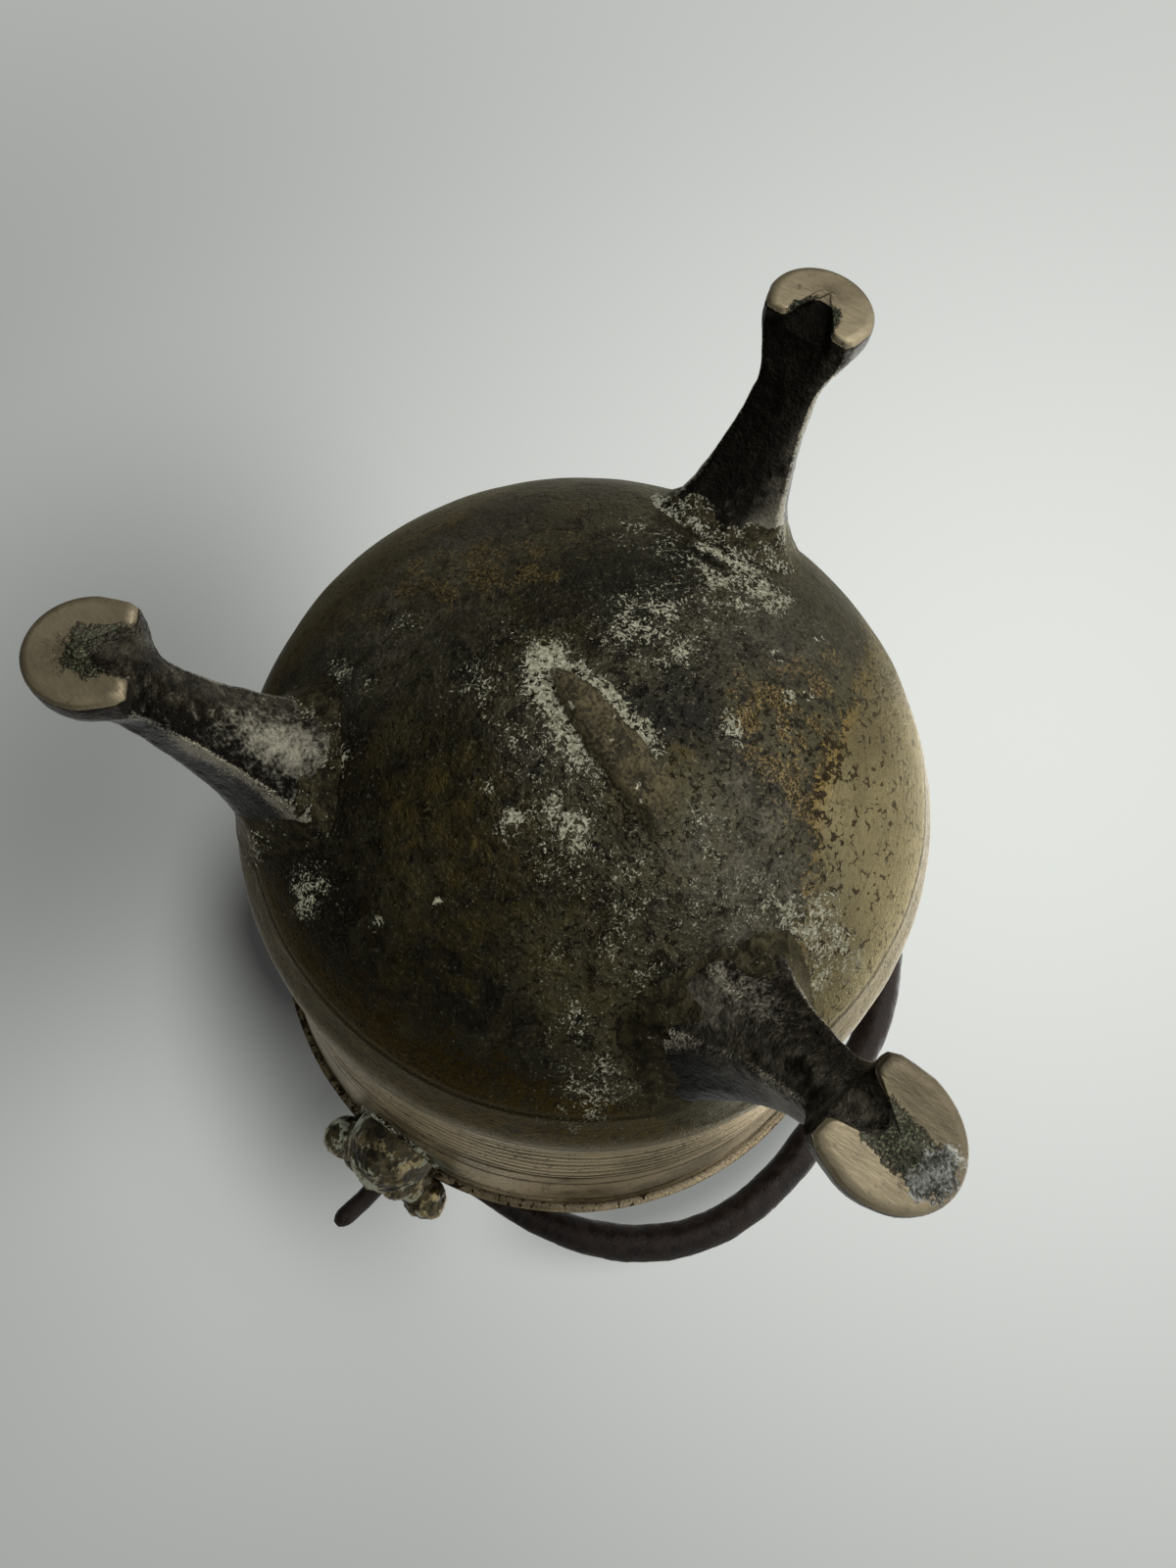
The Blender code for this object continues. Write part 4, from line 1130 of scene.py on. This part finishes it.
def leg_finish():
    f = Finish("leg_bronze_looks")
    big = f.noise(70, 4, 0.6)
    mid = f.noise(430, 5, 0.65, distortion=0.15)
    fine = f.noise(1500, 4, 0.62)
    speck = f.noise(2300, 3, 0.6)
    scratch = f.noise(1.0, 3, 0.6, f.stretched((900, 260, 260)))

    # Dark shank with haze, bright edges of wear with painted glints, painted sheen on the inner face, and
    # chalk at the root
    grey = f.mask("haze") * f.step(f.mix(big, mid, 0.4), 0.36, 0.66)
    edges = f.broken(f.mask("arris") * 0.55, big, speck, 0.42, 0.62, 1.0, 0.9)
    # Bright edges, and flecks of the painted sheen on the inner face
    glint = f.most(edges, f.flecks(f.mask("face") * 0.20, speck))
    patchy = (f.mix(mid, fine, 0.45) - 0.5) * 2.2
    chalk = f.flecks(f.mask("root") * 0.62, f.noise(1900, 5, 0.72))
    # Sole worn to bright bronze, with a crust in its middle and a smear
    crust = f.flecks(f.mask("crust"), f.mix(mid, fine, 0.35), -0.03, 0.05)
    sole = f.broken(f.mask("sole"), big, mid, 0.48, 0.56, 0.5, 0.35)
    worn = sole * (1.0 - crust)
    salt = crust * sole * f.step(speck, 0.52, 0.60)
    smear = f.broken(f.mask("smear"), mid, fine, 0.40, 0.60, 1.2, 1.2)

    metal = f.coats((0.24, 0.20, 0.13), ((0.62, 0.58, 0.47), fine))
    steel = f.coats((0.10, 0.098, 0.088), ((0.46, 0.455, 0.42), f.step(f.mix(mid, fine, 0.5), 0.42, 0.60)))
    bronze = f.coats(
        (0.365, 0.300, 0.196),
        ((0.240, 0.195, 0.125), f.step(big, 0.35, 0.7)),
        ((0.13, 0.105, 0.075), f.step(mid, 0.58, 0.74)),
        ((0.38, 0.31, 0.21), f.step(scratch, 0.60, 0.72, 0.0, 0.4)),
        ((0.045, 0.038, 0.026), f.mask("dim")))
    colour = f.coats(
        (0.012, 0.009, 0.006),
        ((0.052, 0.042, 0.027), f.step(mid, 0.36, 0.66)),
        # Near-black over the whole leg, with the painted shade on its underside and beside the root
        ((0.005, 0.004, 0.003), f.mask("black")),
        ((0.190, 0.172, 0.128), grey),
        # Painted sheen on the inner face near the root
        ((0.50, 0.465, 0.365), f.step(f.mask("face") + patchy, 0.28, 1.05)),
        # Bright metal on the edges: wear with painted glints
        (metal, glint * 0.8),
        ((0.46, 0.45, 0.36), chalk * 0.85),
        (bronze, worn),
        ((0.22, 0.26, 0.14), salt * 0.7),
        (steel, smear * 0.85))
    metallic = f.mix(f.mix(0.9, 1.0, f.most(worn, glint)), 0.4, grey)
    metallic = f.mix(metallic, 0.0, chalk * 0.9)
    rough = f.mix(f.mix(f.mix(0.26, 0.40, mid), 0.24, glint), 0.46, worn)
    rough = f.mix(rough, 0.85, chalk) + (fine - 0.5) * 0.25
    height = f.mix(mid * 1.5 + fine * 0.7 + crust * 0.6, scratch * 0.16, worn)
    return f.finish(colour, metallic, rough, height, 0.8, 0.0010)


def lug_finish():
    f = Finish("lug_bronze_looks")
    big = f.noise(90, 4, 0.6)
    mid = f.noise(280, 5, 0.65, distortion=0.5)
    fine = f.noise(1300, 4, 0.6)
    # Lighter brown on the raised lumps: wear with a painted highlight
    high = f.broken(f.mask("ridge") * 0.85, mid, fine, 0.44, 0.66, 0.6, 0.6)
    cover = f.mask("ridge") * f.step(big, 0.38, 0.62, 0.2, 0.85)
    crust = f.flecks(cover, f.mix(mid, fine, 0.5), -0.03, 0.06)
    colour = f.coats(
        (0.020, 0.017, 0.010),
        ((0.090, 0.068, 0.030), f.step(mid, 0.36, 0.62)),
        ((0.30, 0.235, 0.125), high),
        ((0.36, 0.40, 0.31), crust * 0.8))
    metallic = f.mix(f.mix(0.6, 1.0, high), 0.1, crust)
    rough = f.mix(f.mix(0.42, 0.28, high), 0.60, crust)
    return f.finish(colour, metallic, rough, mid * 0.9 + fine * 0.5, 0.6, 0.0008)


def bail_finish():
    f = Finish("bail_iron_looks")
    big = f.noise(60, 4, 0.6)
    mid = f.noise(260, 5, 0.62, distortion=0.4)
    fine = f.noise(1100, 4, 0.62)
    colour = f.coats(
        (0.011, 0.007, 0.006),
        ((0.032, 0.020, 0.015), f.step(mid, 0.36, 0.66)),
        ((0.058, 0.030, 0.019), f.broken(big * 0.6, mid, fine, 0.42, 0.60, 0.6, 0.6)),
        ((0.080, 0.070, 0.066), f.step(fine, 0.60, 0.70, 0.0, 0.6)))
    rough = f.mix(0.36, 0.62, f.step(mid, 0.35, 0.65))
    return f.finish(colour, 0.55, rough, mid * 0.8 + fine * 0.5, 0.55, 0.0007)


def braze_finish():
    f = Finish("braze_looks")
    big = f.noise(110, 4, 0.6)
    mid = f.noise(420, 5, 0.65, distortion=0.6)
    fine = f.noise(1500, 4, 0.6)
    chalk = f.lace(f.mask("chalk") * f.step(big, 0.36, 0.66, 0.3, 1.1))
    colour = f.coats(
        (0.014, 0.012, 0.007),
        ((0.060, 0.050, 0.026), f.step(mid, 0.38, 0.66)),
        ((0.46, 0.45, 0.35), chalk * 0.85))
    f.feed(f.shader.inputs["Specular Tint"], BRASS_SHEEN)
    metallic = f.mix(0.9, 0.0, chalk)
    rough = f.mix(0.42, 0.85, chalk)
    return f.finish(colour, metallic, rough, mid * 0.9 + fine * 0.6, 0.7, 0.0008)


# Stage and light


# The floor: its radius, the distances over which it fades, and its colour
FLOOR_RADIUS = 0.9
FLOOR_FADE = (0.20, 0.85)
FLOOR_COLOUR = (0.60, 0.60, 0.60)
# Directions of the main light and of the table's bright side, and tones of the surroundings
KEY_FROM_BELOW = (RIGHT * 0.85 + CAMERA_UP * 0.15 - CAMERA_FORWARD * 0.45).normalized()
BRIGHT_SIDE = (CAMERA_FORWARD + RIGHT * 0.38 + CAMERA_UP * 0.04).normalized()
BACKDROP_TINT = (0.97, 1.0, 0.955)
PALE = 0.64
SOFT_LIGHT = 0.40
# The table that the rim stands on in the photograph: its height, and its tone off and on the bright side
TABLE_HEIGHT = 0.1956
TABLE_TONES = (0.292, 0.790)
DARKEST_SHADE = 0.08
# Flattest line of sight for which the table is drawn, as its rise over its length
FLATTEST_SIGHT = 0.2
# Soft shadow on the table: where it starts and ends round the rim in radians and over the distance from
# the axis in metres, and how much it takes from or adds to the table's tone
TABLE_SHADES = (
    {"from": (0.35, 1.25), "to": (1.45, 2.25), "reach": (0.160, 0.290), "change": -0.46},
    {"from": (-0.35, 0.35), "to": (0.90, 1.60), "reach": (0.085, 0.135), "change": -0.80},
    {"from": (-1.90, -1.60), "to": (-0.80, -0.20), "reach": (0.088, 0.106), "change": -0.60},
    {"from": (-0.50, 0.20), "to": (0.40, 1.00), "reach": (0.160, 0.110), "change": 0.16},
)
# Lights: direction from the part's middle, distance, size and power
LIT_MIDDLE = Vector((0, 0, 0.09))
LIGHTS = {
    "window": (KEY_FROM_BELOW, 0.85, 0.95, 2.8),
    "lamp": (RIGHT * 0.35 + CAMERA_UP * 0.55 - CAMERA_FORWARD * 0.75, 0.8, 0.20, 1.0),
    "low_fill": (RIGHT * -0.7 - CAMERA_FORWARD * 0.7, 0.9, 0.9, 0.3),
    "top_window": (Vector((-0.5, -0.6, 0.8)), 0.85, 0.80, 4.0),
    "top_fill": (Vector((0.5, 0.3, 0.9)), 0.9, 1.0, 0.8),
}


def make_floor():
    """Pale floor under the soles, seen from above only, that fades into the surrounding white."""
    bm = bmesh.new()
    bmesh.ops.create_circle(bm, cap_ends=True, segments=96, radius=FLOOR_RADIUS)
    mesh = bpy.data.meshes.new("floor")
    bm.to_mesh(mesh)
    bm.free()
    obj = bpy.data.objects.new("floor", mesh)
    bpy.context.collection.objects.link(obj)
    for ray in ("diffuse", "glossy", "transmission", "volume_scatter", "shadow"):
        setattr(obj, f"visible_{ray}", False)
    material = bpy.data.materials.new("floor")
    material.use_nodes = True
    material.node_tree.nodes.clear()
    mesh.materials.append(material)
    n = Nodes(material.node_tree)
    reach = n.node("VectorMath", {0: n.node("TexCoord", {}, "Object")}, "Value", operation="LENGTH")
    clear = n.node("BsdfTransparent", {})
    pale = n.node("BsdfDiffuse", {"Color": FLOOR_COLOUR})
    front = n.node("MixShader", {0: n.step(reach, *FLOOR_FADE, 1.0, 0.0), 1: clear, 2: pale})
    surface = n.node("MixShader", {0: n.node("NewGeometry", {}, "Backfacing"), 1: front, 2: clear})
    n.node("OutputMaterial", {"Surface": surface}, None)


def table_shade(n, way):
    """Tone of the table's shadow along a line of sight, from where the line meets the table."""
    x, y, z = [n.node("SeparateXYZ", {0: way}, axis) for axis in "XYZ"]
    z = n.ramp(z, FLATTEST_SIGHT, 1.0, FLATTEST_SIGHT, 1.0)
    stretch = n.math("DIVIDE", TABLE_HEIGHT - CAMERA_PLACE.z, z)
    x = x * stretch + CAMERA_PLACE.x
    y = y * stretch + CAMERA_PLACE.y
    angle = n.math("ARCTAN2", y, x)
    reach = n.math("SQRT", x * x + y * y)
    tone = 1.0
    for shade in TABLE_SHADES:
        part = n.step(angle, *shade["from"]) * n.step(angle, *shade["to"], 1.0, 0.0)
        tone = part * n.step(reach, *shade["reach"], 1.0, 0.0) * shade["change"] + tone
    return n.most(tone, DARKEST_SHADE)


def make_world():
    world = bpy.data.worlds.new("pale_room")
    bpy.context.scene.world = world
    world.use_nodes = True
    world.node_tree.nodes.clear()
    n = Nodes(world.node_tree)
    way = n.node("TexCoord", {}, "Generated")

    def along(direction):
        return n.node("VectorMath", {0: way, 1: direction}, "Value", operation="DOT_PRODUCT")

    def ray(kind):
        return n.node("LightPath", {}, f"Is {kind} Ray")

    up = along((0, 0, 1))
    right = along(RIGHT)
    # What is seen behind the part: the table above, with its shadow, and pale all round
    table = n.ramp(n.math("POWER", n.ramp(along(BRIGHT_SIDE), 0.0, 1.0), 4.0), 0.0, 1.0, *TABLE_TONES)
    seen = n.mix(PALE, table * table_shade(n, way), n.step(up, 0.30, 0.70))
    # What the metal mirrors: brighter towards the window's side
    below = n.step(along(KEY_FROM_BELOW), -0.4, 0.95, 0.05, 0.62)
    level = n.step(right, -0.9, 0.9, 0.10, 0.72)
    surround = n.mix(below, level, n.step(up, -0.35, 0.10))
    shaded = table * n.step(right, -0.75, 0.05, 0.22, 1.0)
    surround = n.mix(surround, shaded, n.step(up, 0.35, 0.75))
    soft = n.mix(surround, SOFT_LIGHT, ray("Diffuse"))
    tone = n.mix(soft, seen, ray("Camera"))
    colour = n.node("VectorMath", {0: BACKDROP_TINT, "Scale": tone}, operation="SCALE")
    n.node("OutputWorld", {"Surface": n.node("Background", {"Color": colour})}, None)


def add_light(name, direction, distance, size, power):
    data = bpy.data.lights.new(name, "AREA")
    data.size = size
    data.energy = power
    obj = bpy.data.objects.new(name, data)
    obj.location = LIT_MIDDLE + direction.normalized() * distance
    obj.rotation_euler = (LIT_MIDDLE - obj.location).to_track_quat("-Z", "Y").to_euler()
    obj.visible_camera = False
    bpy.context.collection.objects.link(obj)


def make_camera():
    data = bpy.data.cameras.new("photo_camera")
    data.sensor_fit = "VERTICAL"
    data.sensor_height = CAMERA_SENSOR
    data.sensor_width = CAMERA_SENSOR
    data.lens = CAMERA_LENS
    data.clip_start = 0.01
    camera = bpy.data.objects.new("photo_camera", data)
    axes = Matrix((RIGHT, CAMERA_UP, -CAMERA_FORWARD)).transposed()
    camera.matrix_world = Matrix.Translation(CAMERA_PLACE) @ axes.to_4x4()
    bpy.context.collection.objects.link(camera)
    bpy.context.scene.camera = camera


make_bowl(bowl_finish())
leg_metal = leg_finish()
braze_metal = braze_finish()
for number, (leg_name, leg_sizes) in enumerate(LEGS.items()):
    make_leg(leg_name, leg_sizes, LEG_LOOKS[leg_name], 11 + 10 * number, leg_metal)
    make_collar(leg_name, leg_sizes, 12 + 10 * number, braze_metal)
lug_metal = lug_finish()
for number, (lug_name, lug_turn) in enumerate((("right", 0.0), ("left", math.pi))):
    make_lug(lug_name, lug_turn, 71 + 10 * number, lug_metal)
    make_seam(lug_name, lug_turn, 73 + 10 * number, braze_metal)
make_bail(bail_finish())

make_floor()
make_world()
for light_name, light in LIGHTS.items():
    add_light(light_name, *light)
make_camera()
bpy.context.scene.view_settings.view_transform = "Standard"
